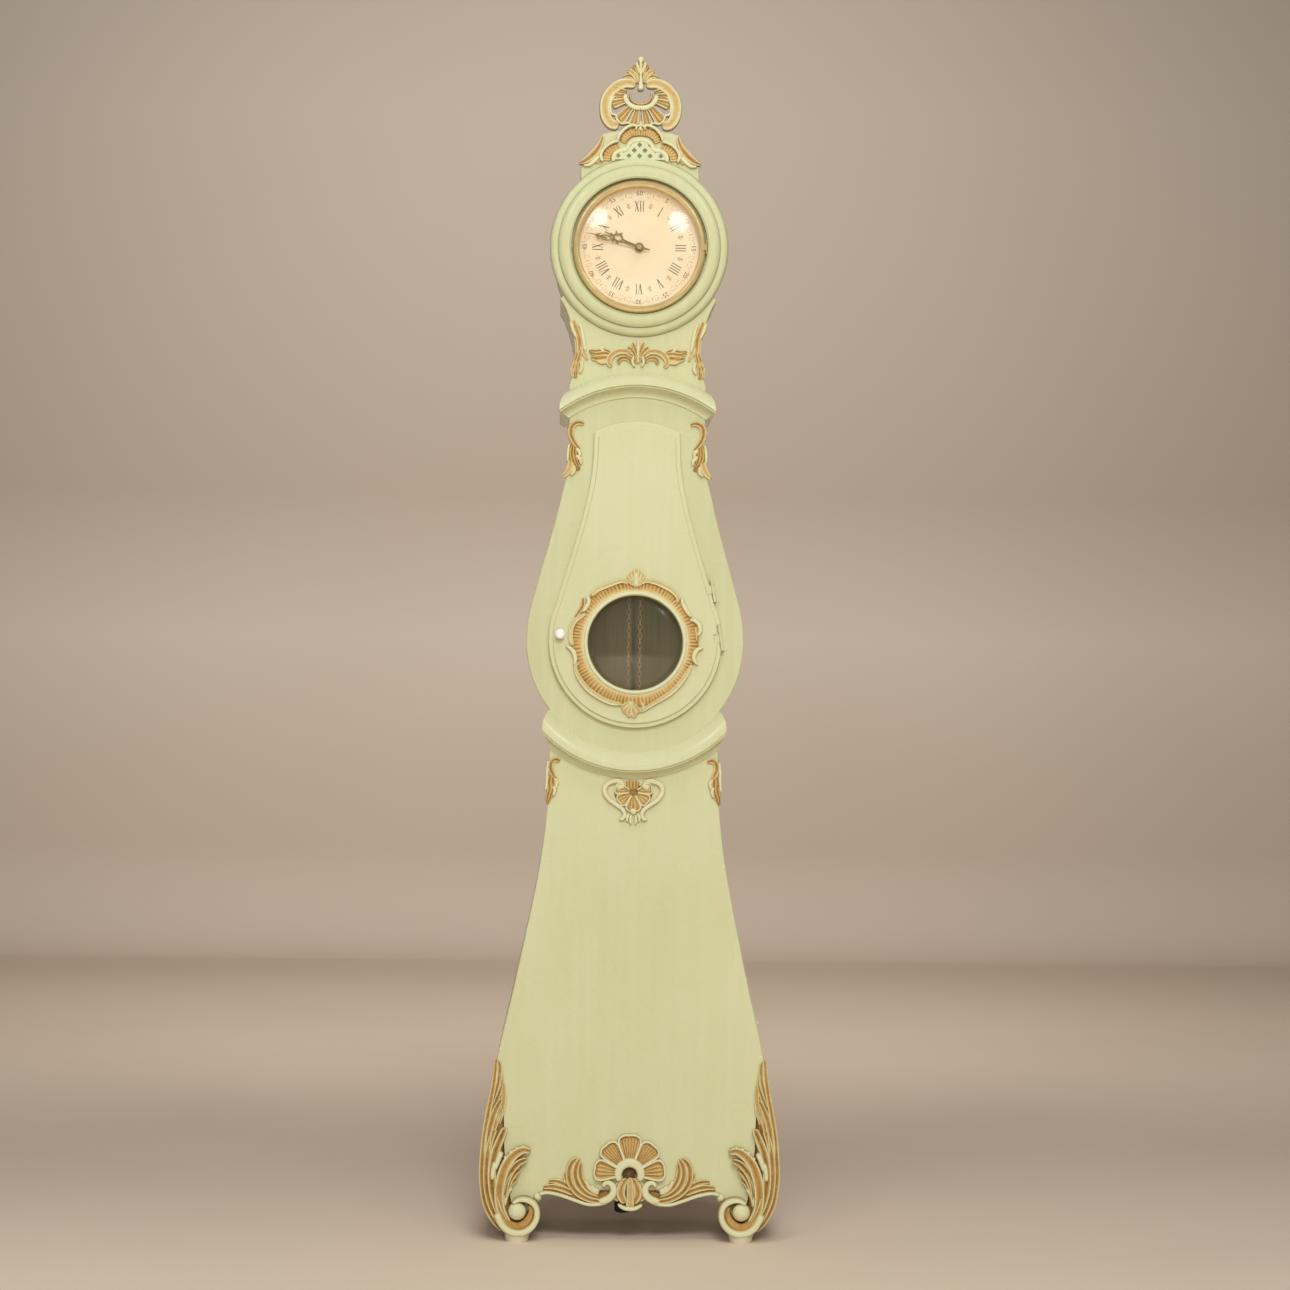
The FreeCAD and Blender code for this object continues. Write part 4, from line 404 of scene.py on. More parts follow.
def mirrored(shell):
    """The same shell on the other side of the clock, its faces turned back."""
    points, faces, gold = shell
    return points * (-1, 1, 1), [face[::-1] for face in faces], gold


def both(shells):
    """Shells and their mirror images."""
    return shells + [mirrored(shell) for shell in shells]


def backed(face, back, shade, back_shade, looped=False):
    """Closes a carved face, rows of points, with a flat back: each row goes on to its own two ends there."""
    foot = face[:, [-1, 0]].copy()
    foot[..., 1] = back
    shade = np.concatenate([shade, np.full((len(face), 2), back_shade)], 1)
    return closed_sweep(np.concatenate([face, foot], 1), shade, looped)


def mesh_piece(name, points, faces, finish):
    """A mesh object from points in millimetres, its faces and one finish."""
    mesh = bpy.data.meshes.new(name)
    mesh.from_pydata((points * mm).tolist(), [], faces)
    mesh.polygons.foreach_set("use_smooth", np.ones(len(faces), bool))
    mesh.materials.append(finish)
    mesh.update()
    piece = bpy.data.objects.new(name, mesh)
    scene.collection.objects.link(piece)
    return piece


def add(name, shells, body, finish, replaced=()):
    """Puts shells into one mesh object that rides on a body and stands for CAD nodes."""
    points, faces, gold = join(shells)
    piece = mesh_piece(name, points, faces, finish)
    piece.data.attributes.new("gilt", "FLOAT", "POINT").data.foreach_set("value", gold.astype(np.float32))
    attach(piece, body)
    if replaced:
        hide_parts(*replaced)
    return piece


def carve(name, shells, node, body="case"):
    """Puts carved shells in green and gold in place of a CAD node."""
    add(name, shells, body, gilt, [node])


def spot(places):
    """Pixels of the photograph, across and down, as millimetres across and up on the clock's front. The
    clock leans a little there, so its middle line shifts as it rises."""
    x, y = np.asarray(places, float).T
    middle = photo_middle - (y - photo_top) * photo_lean
    return np.stack([(x - middle) * pixel, (photo_floor - y) * pixel], 1)


def spot_at(x, y):
    """One such place."""
    return spot([(x, y)])[0]


def run_along(path):
    """The distance run along a path at each of its points."""
    return np.r_[0, np.cumsum(np.linalg.norm(np.diff(path, axis=0), axis=1))]


def places_along(path, run, at):
    """The places on a path after given runs along it."""
    return np.stack([np.interp(at, run, path[:, k]) for k in (0, 1)], 1)


def smooth_path(places, count):
    """A curve through the places, cubic from each to the next with the slope of its neighbours, cut into
    steps that shorten to both ends. Gives the points, their sideways directions and the run along them."""
    p = np.asarray(places, float)
    p = np.vstack([2 * p[0] - p[1], p, 2 * p[-1] - p[-2]])
    u = np.linspace(0, len(p) - 3, 12 * len(p))
    i = np.minimum(u.astype(int), len(p) - 4)
    f = (u - i)[:, None]
    a, b, c, d = p[i], p[i + 1], p[i + 2], p[i + 3]
    square, cube = 2 * a - 5 * b + 4 * c - d, 3 * b - a - 3 * c + d
    fine = 0.5 * (2 * b + (c - a) * f + square * f ** 2 + cube * f ** 3)
    run = run_along(fine)
    at = (0.5 - 0.5 * np.cos(np.linspace(0, np.pi, count))) * run[-1]
    points = places_along(fine, run, at)
    tangent = np.gradient(points, at, axis=0)
    tangent /= np.linalg.norm(tangent, axis=1, keepdims=True)
    return points, np.stack([-tangent[:, 1], tangent[:, 0]], 1), at


def strand(path, widths, height, back, flutes, wall=0.0, ends=(1.0, 1.0), ribs=0, gold=1.0, rise=(1.0,),
           scallop=0.0, base_gold=0.08, deep=0.5):
    """A carved strand along a smooth path of millimetres across and up.

    Across it, s runs from -1 to 1 over the width: height = rise * (1 - s^4)^0.4 * (1 - deep * channel).
    The channel is a flattened cosine wave with so many hollows across, or so many ribs along. Each end is
    rounded like a half circle, longer or shorter by its share. The back is flat, and a wall lifts the
    strand off it. A scallop draws the far end out along the hollows. The gold lies in the channels, over a
    little gold everywhere. Both edges and the side walls are coloured dark brown, as painted shade.
    """
    length = run_along(np.asarray(path, float))[-1]
    rows = int(np.clip(ribs * 6, 24, 160) if ribs else np.clip(length / 2.2, 12, 60))
    points, side, run = smooth_path(path, rows)
    share = run / run[-1]
    half = np.interp(share, np.linspace(0, 1, len(widths)), widths) / 2
    near = np.clip(run / np.maximum(half * ends[0], 1e-6), 0, 1)
    far = np.clip((run[-1] - run) / np.maximum(half * ends[1], 1e-6), 0, 1)
    taper = np.maximum(np.sqrt(1 - (1 - near) ** 2) * np.sqrt(1 - (1 - far) ** 2), 0.04)
    s = np.linspace(-1, 1, 11 + 8 * flutes)
    wave = np.clip(0.5 + 0.5 * (-1) ** (flutes + 1) * np.cos(flutes * np.pi * s / 0.82), 0, 1) ** 0.6
    channel = np.broadcast_to(wave * (np.abs(s) < 0.82) if flutes else 0 * s, (rows, len(s)))
    if ribs:
        channel = np.maximum(channel, (0.5 + 0.5 * np.cos(2 * np.pi * ribs * share))[:, None] * 0.9)
    lift = np.interp(share, np.linspace(0, 1, len(rise)), rise) * taper ** 0.7
    tall = height * lift[:, None] * (1 - s ** 4) ** 0.4 * (1 - deep * channel)
    across = (half * taper)[:, None] * s
    x = points[:, :1] + side[:, :1] * across
    z = points[:, 1:] + side[:, 1:] * across
    if scallop:
        ahead = np.stack([side[:, 1], -side[:, 0]], 1) * (share ** 3 * run[-1] * scallop)[:, None]
        x = x + ahead[:, :1] * channel
        z = z + ahead[:, 1:] * channel
    y = back - wall * lift[:, None] ** 0.3 - tall
    # Painted shade: dark brown at both edges here, and on the side walls from the 0.95 given to the back
    # below
    edges = 0.3 * s ** 6 + 0.4 * (np.abs(s) > 0.94)
    shade = gold * channel * (0.4 + 0.6 * taper)[:, None] + base_gold + edges
    return backed(np.stack([x, y, z], -1), back, shade, 0.95)


def button(x, z, radius, height, back, wall=0.0, gold=0.05):
    """A round boss: height = sqrt(1 - (r / radius)^2) over rings of shrinking radius, on a short wall. The
    wall and the lower rings are darker, as painted shade.
    """
    rise = np.linspace(0, 0.5 * np.pi - 0.04, 9)
    depths = np.r_[back, back - wall - height * np.sin(rise)]
    # Painted shade: dark on the wall, and darker towards the foot of the boss
    shade = np.r_[0.9, np.linspace(gold + 0.3, gold, 9)]
    return lathe(x, z, radius * np.r_[1, np.cos(rise)], depths, 28, shade[:, None])


def polar(centre, angle, radius):
    """A place at so many degrees from straight up, clockwise, and so far from a centre."""
    turn = np.radians(angle)
    return (centre[0] + radius * np.sin(turn), centre[1] + radius * np.cos(turn))


def lobe(centre, angle, half, inner, outer, height, back, flutes, rim, wall=0.0, scallop=0.05):
    """One lobe of a shell: a fluted fan that widens from the inner to the outer radius, in a raised rim."""
    spread = np.tan(np.radians(half))
    path = [polar(centre, angle, r) for r in np.linspace(inner, outer, 4)]
    fan = strand(path, (2 * inner * spread, 2 * outer * spread), height * 0.7, back, flutes, wall,
                 (0.2, 0.45), gold=0.38, scallop=scallop, base_gold=0.38, deep=0.3)
    edge = [polar(centre, angle + side * half * 0.97, r) for side, r in ((-1, inner), (-1, outer * 0.9))]
    edge += [polar(centre, angle + share * half, outer * 1.03) for share in (-0.5, 0.0, 0.5)]
    edge += [polar(centre, angle + half * 0.97, r) for r in (outer * 0.9, inner)]
    return [fan, strand(edge, (rim,), height, back, 0, wall, base_gold=0.0)]


def strokes(table, back, wall=0.0, scale=1.0):
    """Strands from a table of pixel paths: path, widths in pixels, height, flutes and other settings."""
    shells = []
    for path, widths, height, flutes, *more in table:
        settings = {"wall": wall, **(more[0] if more else {})}
        widths = np.asarray(widths) * pixel
        shells.append(strand(spot(path), widths, height * scale, back, flutes, **settings))
    return shells


# Crest: two C-scrolls round a pierced shell, under a palmette


crest_left = [
    ([(637.6, 82.4), (629, 80.6), (620, 83.2), (612.2, 90), (607.6, 98), (606.5, 107), (608, 115.4),
      (612.6, 121.8), (620.8, 123.6)], (9.6, 11.2, 11.2, 11.2, 10.2), 7, 1,
     {"gold": 0.5, "rise": (0.9, 1.0, 1.0, 0.9)}),
    ([(641, 80), (636.4, 75.4), (631, 73.2), (624.4, 75.2)], (5, 6.4, 5, 2), 5, 1, {"gold": 0.8}),
    ([(641.4, 79), (637.6, 74), (633.6, 69.8), (629, 68)], (4, 6, 6, 2.8), 6, 1, {"gold": 0.55}),
    ([(641.8, 78), (639.4, 71), (637, 66), (635, 62.6)], (4, 7, 7.4, 3.4), 6.5, 2,
     {"gold": 0.6, "base_gold": 0.25}),
    ([(642, 72), (640, 66), (638.6, 61.6), (639.6, 59)], (3, 4.4, 4.4, 3), 7.5, 0, {"base_gold": 0.3}),
    ([(627.2, 92), (627.4, 97.4), (631.4, 102.6), (636.6, 105.2), (642.6, 106)], (5, 5.4, 5.6, 5.8, 5.8),
     8, 0, {"ends": (1.0, 0.1)}),
    ([(632, 90.4), (632.2, 95.5), (635.4, 100.2), (642.6, 102.4)], (2, 2.2, 2.2, 2.2), 6, 0,
     {"ends": (1.0, 0.1), "base_gold": 0.6}),
]
crest_middle = [
    ([(642.6, 57), (642.6, 66), (642.6, 76), (642.6, 83), (642.6, 88.4)], (4.6, 2.6, 2.6, 4.4, 7.6), 9, 0,
     {"ends": (0.6, 0.7)}),
    ([(642.6, 126), (642.6, 118)], (14, 18), 5, 2, {"gold": 0.6}),
]


def make_crest():
    back, wall = crest_back, crest_wall
    shells = both(strokes(crest_left, back, wall))
    # The shell hangs from its centre: rays at an angle from straight down, each with its half width in
    # degrees and its reach in pixels
    centre, inner = spot_at(642.6, 93.6) * (0, 1), 14.5
    rays = ((13.6, 8.6, 32), (40, 10.4, 33), (72.5, 8, 30.5), (88, 7.6, 28.5), (103, 7.4, 27))
    for angle, half, reach in rays:
        spread = np.tan(np.radians(half)) * pixel
        path = [polar(centre, angle - 180, r * pixel) for r in (inner, 20, 26, reach)]
        shells += both([strand(path, (2 * inner * spread, 2 * reach * spread), 4.5, back, 2, wall,
                               (0.2, 0.5), gold=0.5, base_gold=0.3)])
        for side in (-1, 1):
            edge = [polar(centre, angle - 180 + side * half, r * pixel) for r in (inner, 20, 26, reach - 1)]
            shells += both([strand(edge, (2.0, 2.6), 6, back, 0, wall)])
    rim = spot([(616.4, 94), (612.8, 99), (612.2, 106), (613.2, 112), (617.4, 113.2), (618.8, 118),
                (623.6, 121.8), (629.4, 121), (633.4, 123.4), (637.6, 124.6), (642.6, 123)])
    shells += both([strand(rim, (4.4,), 6.4, back, 0, wall, ends=(1.0, 0.1))])
    shells += strokes(crest_middle, back, wall)
    shells.append(button(*spot_at(642.8, 57), 5.6, 4, back, wall + 4))
    carve("crest_scrolls_and_shell", shells, "crest_carving")


# Cartouche: lobed frame with a ribbed gold band round a panel of lattice


cartouche_left = [
    ([(604.6, 161), (602.2, 156), (604, 150), (608.6, 145), (614.4, 141.6), (620.6, 139.6)],
     (3.8, 4, 3.6, 3.4, 3.4, 3), 9, 0, {"wall": 2}),
    ([(619.4, 140), (620.8, 134.8), (625, 129.2), (630.4, 125.4), (635.6, 124), (638.4, 126),
      (636.4, 128.4)], (3, 3.6, 3.6, 3.4, 3.4, 3.2, 2.2), 9.5, 0, {"wall": 2}),
    ([(608, 160.4), (609, 153.4), (613.6, 148.2), (621.4, 145)], (9, 9.4, 9, 7), 4.6, 0,
     {"ribs": 8, "gold": 0.34, "base_gold": 0.42, "ends": (0.4, 0.3), "deep": 0.35}),
    ([(624.4, 141.6), (627.4, 135.4), (633, 131.4), (642, 130)], (7, 9.4, 9.4, 9.4), 5.2, 0,
     {"ribs": 9, "gold": 0.34, "base_gold": 0.42, "ends": (0.4, 0.1), "deep": 0.35}),
    ([(614.6, 160.8), (615.6, 154.4), (620, 150), (628, 148.4), (630.4, 143.6), (635.4, 139.6),
      (642, 138.4)], (4.4, 4.8, 4.6, 4.2, 4.2, 4.6, 4.6), 5.8, 0, {"ends": (1, 0.1)}),
    ([(642, 129.6), (642, 124.6)], (3, 2.6), 8, 0),
]


def make_cartouche():
    back = carving_back
    shells = both(strokes(cartouche_left, back))
    carve("cartouche_frame", shells, "cartouche_carving")
    # The panel: a sheet with square holes sunk where two slanting rows of places cross. The holes are
    # coloured dark grey green, as painted shade of openings.
    half_width, low, columns, rows = 49.0, 1920.0, 180, 70
    middle, row, across_step, up_step, hole_share, margin = -1.2, 1926.5, 19.0, 19.6, 0.24, 5.0
    u, v = np.meshgrid(np.linspace(-1, 1, columns), np.linspace(0, 1, rows), indexing="ij")
    x = u * half_width
    top = np.interp(np.abs(x), [0, 14, 20, 26, 40, 49], [1960, 1957, 1950, 1942, 1938, 1926])
    z = low + v * (top - low)
    a, b = (x - middle) / across_step, (z - row) / up_step
    p, q = a + b, a - b
    hole = (np.abs(p - np.round(p)) < hole_share) & (np.abs(q - np.round(q)) < hole_share)
    hole &= (np.abs(x) < half_width - margin) & (z > low + 2) & (z < top - margin)
    face = np.stack([x, np.where(hole, front - 1.0, front - 4.0), z], -1)
    # Painted shade in the holes, pale paint on the sheet
    shade = np.where(hole, 0.95, 0.02)
    add("cartouche_lattice", [backed(face, back, shade, 0.2)], "case", pierced)


bracket_left = [
    ([(604.2, 134.6), (602.8, 141), (598.8, 149), (592.4, 156), (586, 160.6), (580.6, 162.8)],
     (3.4, 5.4, 8, 9, 7, 2.4), 7, 1, {"gold": 0.75, "rise": (0.7, 1.0, 0.9)}),
    ([(601, 155), (595.6, 160.6), (590, 164.4), (584.6, 164.8)], (3.4, 4.6, 4, 2), 6, 0),
    ([(603.8, 147), (601.6, 155), (598, 163)], (3, 4.6, 2.4), 6, 1, {"gold": 0.6}),
]


def make_brackets():
    shells = both(strokes(bracket_left, bracket_back, bracket_wall))
    carve("shoulder_bracket_leaves", shells, "bracket_leaves")


# Neck: a fan between scrolls, and two leafy strips along the edges


neck_left = [
    ([(634, 357), (630, 352.6), (624, 351), (616.8, 352.6), (611.4, 357.4), (610, 363), (613, 367)],
     (3.4, 5.4, 6.4, 6.8, 6.8, 6, 4), 8, 1, {"gold": 0.6}),
    ([(632.6, 362.4), (628.6, 358.4), (623, 358), (619.4, 361), (621.4, 364)], (3.4, 4.6, 5, 4.8, 3.2),
     6.4, 1, {"gold": 0.6, "base_gold": 0.25}),
    ([(612, 353.6), (605, 351.8), (597, 353), (590, 351)], (5, 8, 8, 3), 7, 2,
     {"gold": 0.6, "base_gold": 0.2}),
    ([(611, 358), (604, 358), (597, 358.8), (591.6, 357.6)], (5, 7.4, 7, 2.6), 6.4, 1,
     {"gold": 0.6, "base_gold": 0.2}),
    ([(610, 361.4), (603, 362.6), (597.6, 361.6)], (3.6, 5, 2.2), 5.4, 0, {"base_gold": 0.35}),
    ([(606, 352.6), (602, 348.6), (605.8, 347.4)], (2.6, 3.2, 2), 6, 0),
    ([(636, 367), (633.6, 362), (635, 356)], (2, 3.4, 2), 7, 0, {"base_gold": 0.15}),
]
neck_strip = [
    ([(574.4, 320.6), (576.8, 328), (579.8, 337), (581, 346), (580.8, 355)], (4, 6.6, 7.4, 7.2, 6), 6.5, 1,
     {"gold": 0.6, "base_gold": 0.2}),
    ([(571.4, 322), (574, 330), (577.4, 338)], (3, 4.4, 3), 6, 0, {"base_gold": 0.2}),
    ([(580.6, 324), (583.4, 333), (585, 343), (586.6, 352)], (2.6, 3.6, 3.6, 2.4), 7, 0),
    ([(581, 350), (578.4, 359), (576, 368), (577, 378.6)], (6, 8, 7.4, 3), 6.5, 2,
     {"gold": 0.6, "base_gold": 0.2}),
    ([(582, 346), (585.4, 353), (588.6, 360.6)], (4, 5, 2.4), 6, 1, {"gold": 0.5}),
    ([(578, 361), (573.6, 369.6), (573.6, 378)], (4, 5, 2.6), 5.6, 1, {"gold": 0.5}),
    ([(582, 361), (583, 368), (580.6, 374)], (3.6, 4.6, 2.4), 5.4, 0, {"base_gold": 0.25}),
]


def make_neck():
    back = carving_back
    fan_at = spot_at(637.6, 366) * (0, 1)
    shells = []
    for angle, reach in ((0, 26), (14, 24.5), (-14, 24.5), (29, 22), (-29, 22), (45, 18), (-45, 18)):
        width = 4.6 if angle else 4.4
        path = [polar(fan_at, angle * (0.2 + 0.8 * share), (3 + share * (reach - 3)) * pixel)
                for share in (0, 0.4, 0.75, 1)]
        shells.append(strand(path, np.array([1.8, 2.8, width, 2.4]) * pixel, 8, back, 1 if angle else 0,
                             gold=0.6, base_gold=0.2))
    shells += both(strokes(neck_left, back) + strokes(neck_strip, back))
    carve("neck_fan_and_strips", shells, "neck_carvings")


trunk_top_left = [
    ([(585.4, 424.4), (579, 423.2), (573.6, 426.4), (571.8, 433), (573.6, 440), (577.4, 446), (581, 449.4)],
     (3.4, 5.8, 6.8, 7, 6.4, 5.2, 2.6), 6.6, 1, {"gold": 0.7, "base_gold": 0.15}),
    ([(574.6, 444), (572.8, 452), (573.6, 460), (577, 467), (581, 470.4)], (6, 10.4, 11.4, 9, 3.4), 6, 3,
     {"gold": 0.5, "base_gold": 0.35}),
    ([(577, 449), (580.6, 453.4), (580.4, 458)], (4, 4.8, 2.6), 6.6, 0, {"base_gold": 0.2}),
    ([(577, 456), (581.6, 460.6), (581.8, 465.6)], (4, 4.8, 2.6), 6.6, 0, {"base_gold": 0.2}),
    ([(571.6, 461), (570.8, 468), (567.6, 474), (562.8, 478.6)], (6, 7.4, 6.4, 3), 7, 1, {"gold": 0.5}),
    ([(574, 466), (575, 471.6), (571, 476.6)], (4, 5, 2.4), 6.4, 0, {"base_gold": 0.25}),
    ([(570.2, 445), (568.8, 454), (568.6, 463)], (2.6, 3.4, 2.4), 6.8, 0),
]


def make_trunk_tops():
    shells = both(strokes(trunk_top_left, carving_back))
    carve("trunk_top_scrolls", shells, "trunk_side_carvings")


# Window: a pale ring, a ribbed gold cove and a rim of scrolls that differ from place to place


def ring_about(z, radii, depths, count=200, gold=0.0):
    """A closed ring turned about a level axis: a section of radii and depths at every angle."""
    angle = circle(count)[:, None]
    radii, depths = np.asarray(radii, float), np.asarray(depths, float)
    rings = np.stack([radii * np.sin(angle), np.broadcast_to(depths, (count, len(radii))),
                      z + radii * np.cos(angle)], -1)
    return closed_sweep(rings, gold, looped=True)


window_rim = [
    ([(628.6, 585), (626, 582.8), (620.6, 582.2), (610, 586), (599, 590.4), (591.6, 597)],
     (3, 4.4, 5, 5.4, 5.4, 4.4), 8, 1, {"gold": 0.3}),
    ([(587.4, 597), (589.6, 602.6), (586.4, 609.6), (583, 613)], (3.4, 4.8, 4.6, 2.6), 7.4, 0),
    ([(583.6, 599), (583.4, 607), (579, 614), (575.6, 619)], (2.4, 6, 5, 3), 5, 1, {"gold": 0.8}),
    ([(586, 614.6), (582.4, 617.2), (577, 621), (572.6, 627), (571.4, 633), (571.4, 640), (573.6, 647)],
     (3, 4.6, 5, 5.4, 5.2, 4.8, 3.4), 7.6, 1, {"gold": 0.3}),
    ([(566.4, 647), (571.6, 650), (575, 655), (576, 661), (574.6, 666.4)], (2, 4.4, 5, 4.4, 2), 7.6, 0),
    ([(580.6, 664.6), (577.2, 665), (576.4, 670), (579.6, 678.6), (588.4, 690), (601.4, 699), (612.6, 703.6),
      (622.8, 704.4)], (3, 4, 5, 5.4, 5.4, 5.4, 5, 3), 8, 1, {"gold": 0.3}),
    ([(642.4, 702.6), (643.6, 706.8), (641.6, 711), (646.4, 708.4), (657, 702), (671, 693), (682.4, 681),
      (689.6, 669.6), (691.6, 664.6)], (2.6, 4, 4, 4.6, 5.4, 5.4, 5.4, 5, 3), 8, 1, {"gold": 0.3}),
    ([(704, 647), (698, 649.6), (694.8, 654.4), (694.6, 660), (698, 665)], (2, 4.6, 5, 4.4, 2), 7.6, 0),
    ([(697.2, 627), (698.6, 633.4), (698, 641)], (5, 5.6, 4), 6, 1, {"gold": 0.7}),
    ([(690, 620), (694.6, 620.4), (699.6, 624.6), (700.8, 630.6), (698, 636)], (3, 4.4, 4.8, 4.4, 2.6),
     7.6, 0, {"base_gold": 0.12}),
    ([(682.4, 597.4), (683.2, 603), (686.6, 610), (691.4, 617)], (3, 4.8, 4.8, 3), 7.6, 0,
     {"base_gold": 0.12}),
    ([(642.6, 584.6), (645, 582.6), (651, 582), (662, 585.4), (672.6, 591), (678.4, 598), (676.6, 603)],
     (3, 4, 4.8, 5.4, 5.4, 4.8, 3), 8, 1, {"gold": 0.3}),
]


def make_window():
    back = door_face + let_in
    # The pale ring, as radii and depths round its section
    radii = [84, 84, 84.8, 86.2, 88.2, 90, 91.2, 91.6, 91.6, 89.9, 89.9]
    depths = [-107, -118.6, -122, -123.7, -124, -123, -121, -119.4, back, back, -107]
    shells = [ring_about(window_z, radii, depths, gold=0.02)]
    # The cove reaches out to the scrolls: its rim is the mean of their places over a small angle
    rim = spot(np.concatenate([np.asarray(row[0]) for row in window_rim])) - (0.0, window_z)
    turn = np.arctan2(rim[:, 0], rim[:, 1])
    order = np.argsort(turn)
    start, limit, count, ribs, near = 91.0, 114.0, 1120, 104, 12
    angle = np.linspace(-np.pi, np.pi, count, endpoint=False)
    outer = np.interp(angle, turn[order], np.minimum(np.hypot(*rim.T)[order], limit), period=2 * np.pi)
    mean = np.ones(2 * near + 1) / (2 * near + 1)
    outer = np.convolve(np.r_[outer[-near:], outer, outer[:near]], mean, "valid")
    share = np.array([0, 0.06, 0.2, 0.4, 0.6, 0.8, 0.94, 1])
    r = start + (outer[:, None] - start) * share
    wave = np.cos(ribs * angle + 1.6 * np.sin(9 * angle)) * (0.75 + 0.25 * np.sin(17 * angle))
    rib = 0.5 + 0.5 * wave[:, None] * np.sin(np.pi * share) ** 0.5
    y = back - 1.4 - 2.4 * (1 - share) ** 2 - 1.5 * share ** 2 - 1.3 * (1 - rib) * np.sin(np.pi * share)
    face = np.stack([r * np.sin(angle)[:, None], y, window_z + r * np.cos(angle)[:, None]], -1)
    # Gold lies in the grooves between the ribs. The cove grows darker toward its outer rim and its walls are
    # dark, as painted shade of the hollow.
    shade = 0.1 + (0.3 + 0.36 * rib) * np.minimum(1, share * 3.4) + 0.26 * share ** 2
    shells.append(backed(face, back, shade, 0.9, looped=True))
    shells += strokes(window_rim, back, 1.5, 0.86)
    # A small fan above and one below: the pixel at its root, its heading in degrees, the way its leaves
    # are counted round, and their angles off the heading
    fans = (((636.8, 587), 0, 1, (-50, -33, -16, 0, 16, 33, 50)),
            ((631, 701.6), 172, -1, (-58, -36, -14, 8, 30)))
    for root, heading, way, turns in fans:
        for turn_by in turns:
            reach = (18 - abs(turn_by) * 0.1) * pixel
            path = [polar(spot_at(*root), heading + way * turn_by, r) for r in (0, reach * 0.5, reach)]
            shells.append(strand(path, np.array([3, 5.6, 5.8]) * pixel, 7.6, back, 1, 1.0, gold=0.5,
                                 base_gold=0.1))
    shells += strokes([([(636.4, 588), (636.8, 580), (637, 573)], (7, 4, 2.4), 8.6, 0)], back, 1.0)
    carve("window_ring_and_scrolls", shells, "window_carving", "door")


# Base: a small shell under the cornice and two corner leaves


base_top_left = [
    ([(620.6, 789), (623.4, 786), (620.6, 782), (614, 781.8), (607, 785.2), (605, 792), (609, 799.4),
      (616.2, 804.8), (622.6, 809.6), (625.2, 815), (622.8, 819.6), (619.4, 818.8)],
     (4, 5, 5.6, 5.6, 5.8, 5.6, 5, 4.8, 4.8, 4.8, 4.4, 3), 8, 0),
    ([(629.4, 813.6), (627.4, 819), (628.2, 822.6)], (3, 4, 2.4), 6.6, 0, {"base_gold": 0.15}),
    ([(631.6, 815), (630.8, 821), (631.8, 825)], (2.4, 3.6, 2.4), 7.6, 0),
]
base_corner = [
    ([(561, 762.4), (556, 760.6), (551.8, 764), (551.2, 770), (553.6, 776), (557, 780.6)],
     (3.4, 5.6, 6.4, 6.4, 5.2, 2.6), 6.4, 1, {"gold": 0.7, "base_gold": 0.15}),
    ([(552.6, 774), (551.6, 783), (551.8, 791), (549.4, 798), (547.6, 805)], (5, 9, 9.4, 7, 3), 6, 2,
     {"gold": 0.5, "base_gold": 0.35}),
    ([(555, 779), (557.4, 784), (556, 790)], (3.6, 4.6, 2.6), 6.4, 0, {"base_gold": 0.2}),
    ([(554, 787), (555.4, 792), (553.4, 797.6)], (3.4, 4.4, 2.4), 6.4, 0, {"base_gold": 0.2}),
    ([(548.6, 762), (547.6, 772), (547.4, 782), (546.2, 792)], (2.6, 3.4, 3.2, 2.2), 6.6, 0),
]


def make_base_top():
    back = carving_back
    shells = both(strokes(base_top_left, back))
    top = spot_at(633, 792.4)[1]
    ground = [(-34, top - 2), (0, top - 6), (34, top - 2)]
    shells.append(strand(ground, (26, 40, 26), 2.4, back, 0, base_gold=0.85))
    for angle, half, reach in ((180, 27, 18.5), (125, 25, 17), (-125, 25, 17), (78, 20, 18), (-78, 20, 18)):
        shells += lobe((0.0, top), angle, half, 4 * pixel, reach * pixel, 7, back, 3, 3.0)
    shells += strokes([([(633.4, 780.6), (633.2, 786), (633.2, 790)], (15, 13, 10), 5, 3,
                        {"gold": 0.4, "base_gold": 0.4, "ends": (0.4, 0.3)})], back)
    for x, y in ((619.6, 787.4), (647.2, 787.4)):
        shells.append(button(*spot_at(x, y), 6.4, 6, back, 2))
    shells.append(button(0.0, spot_at(633, 812)[1], 6.2, 6, back, 2))
    shells += both(strokes(base_corner, back))
    carve("base_shell_and_corners", shells, "base_top_carvings")


# Apron: a five-lobed shell over a collar, between scrolls of long leaves


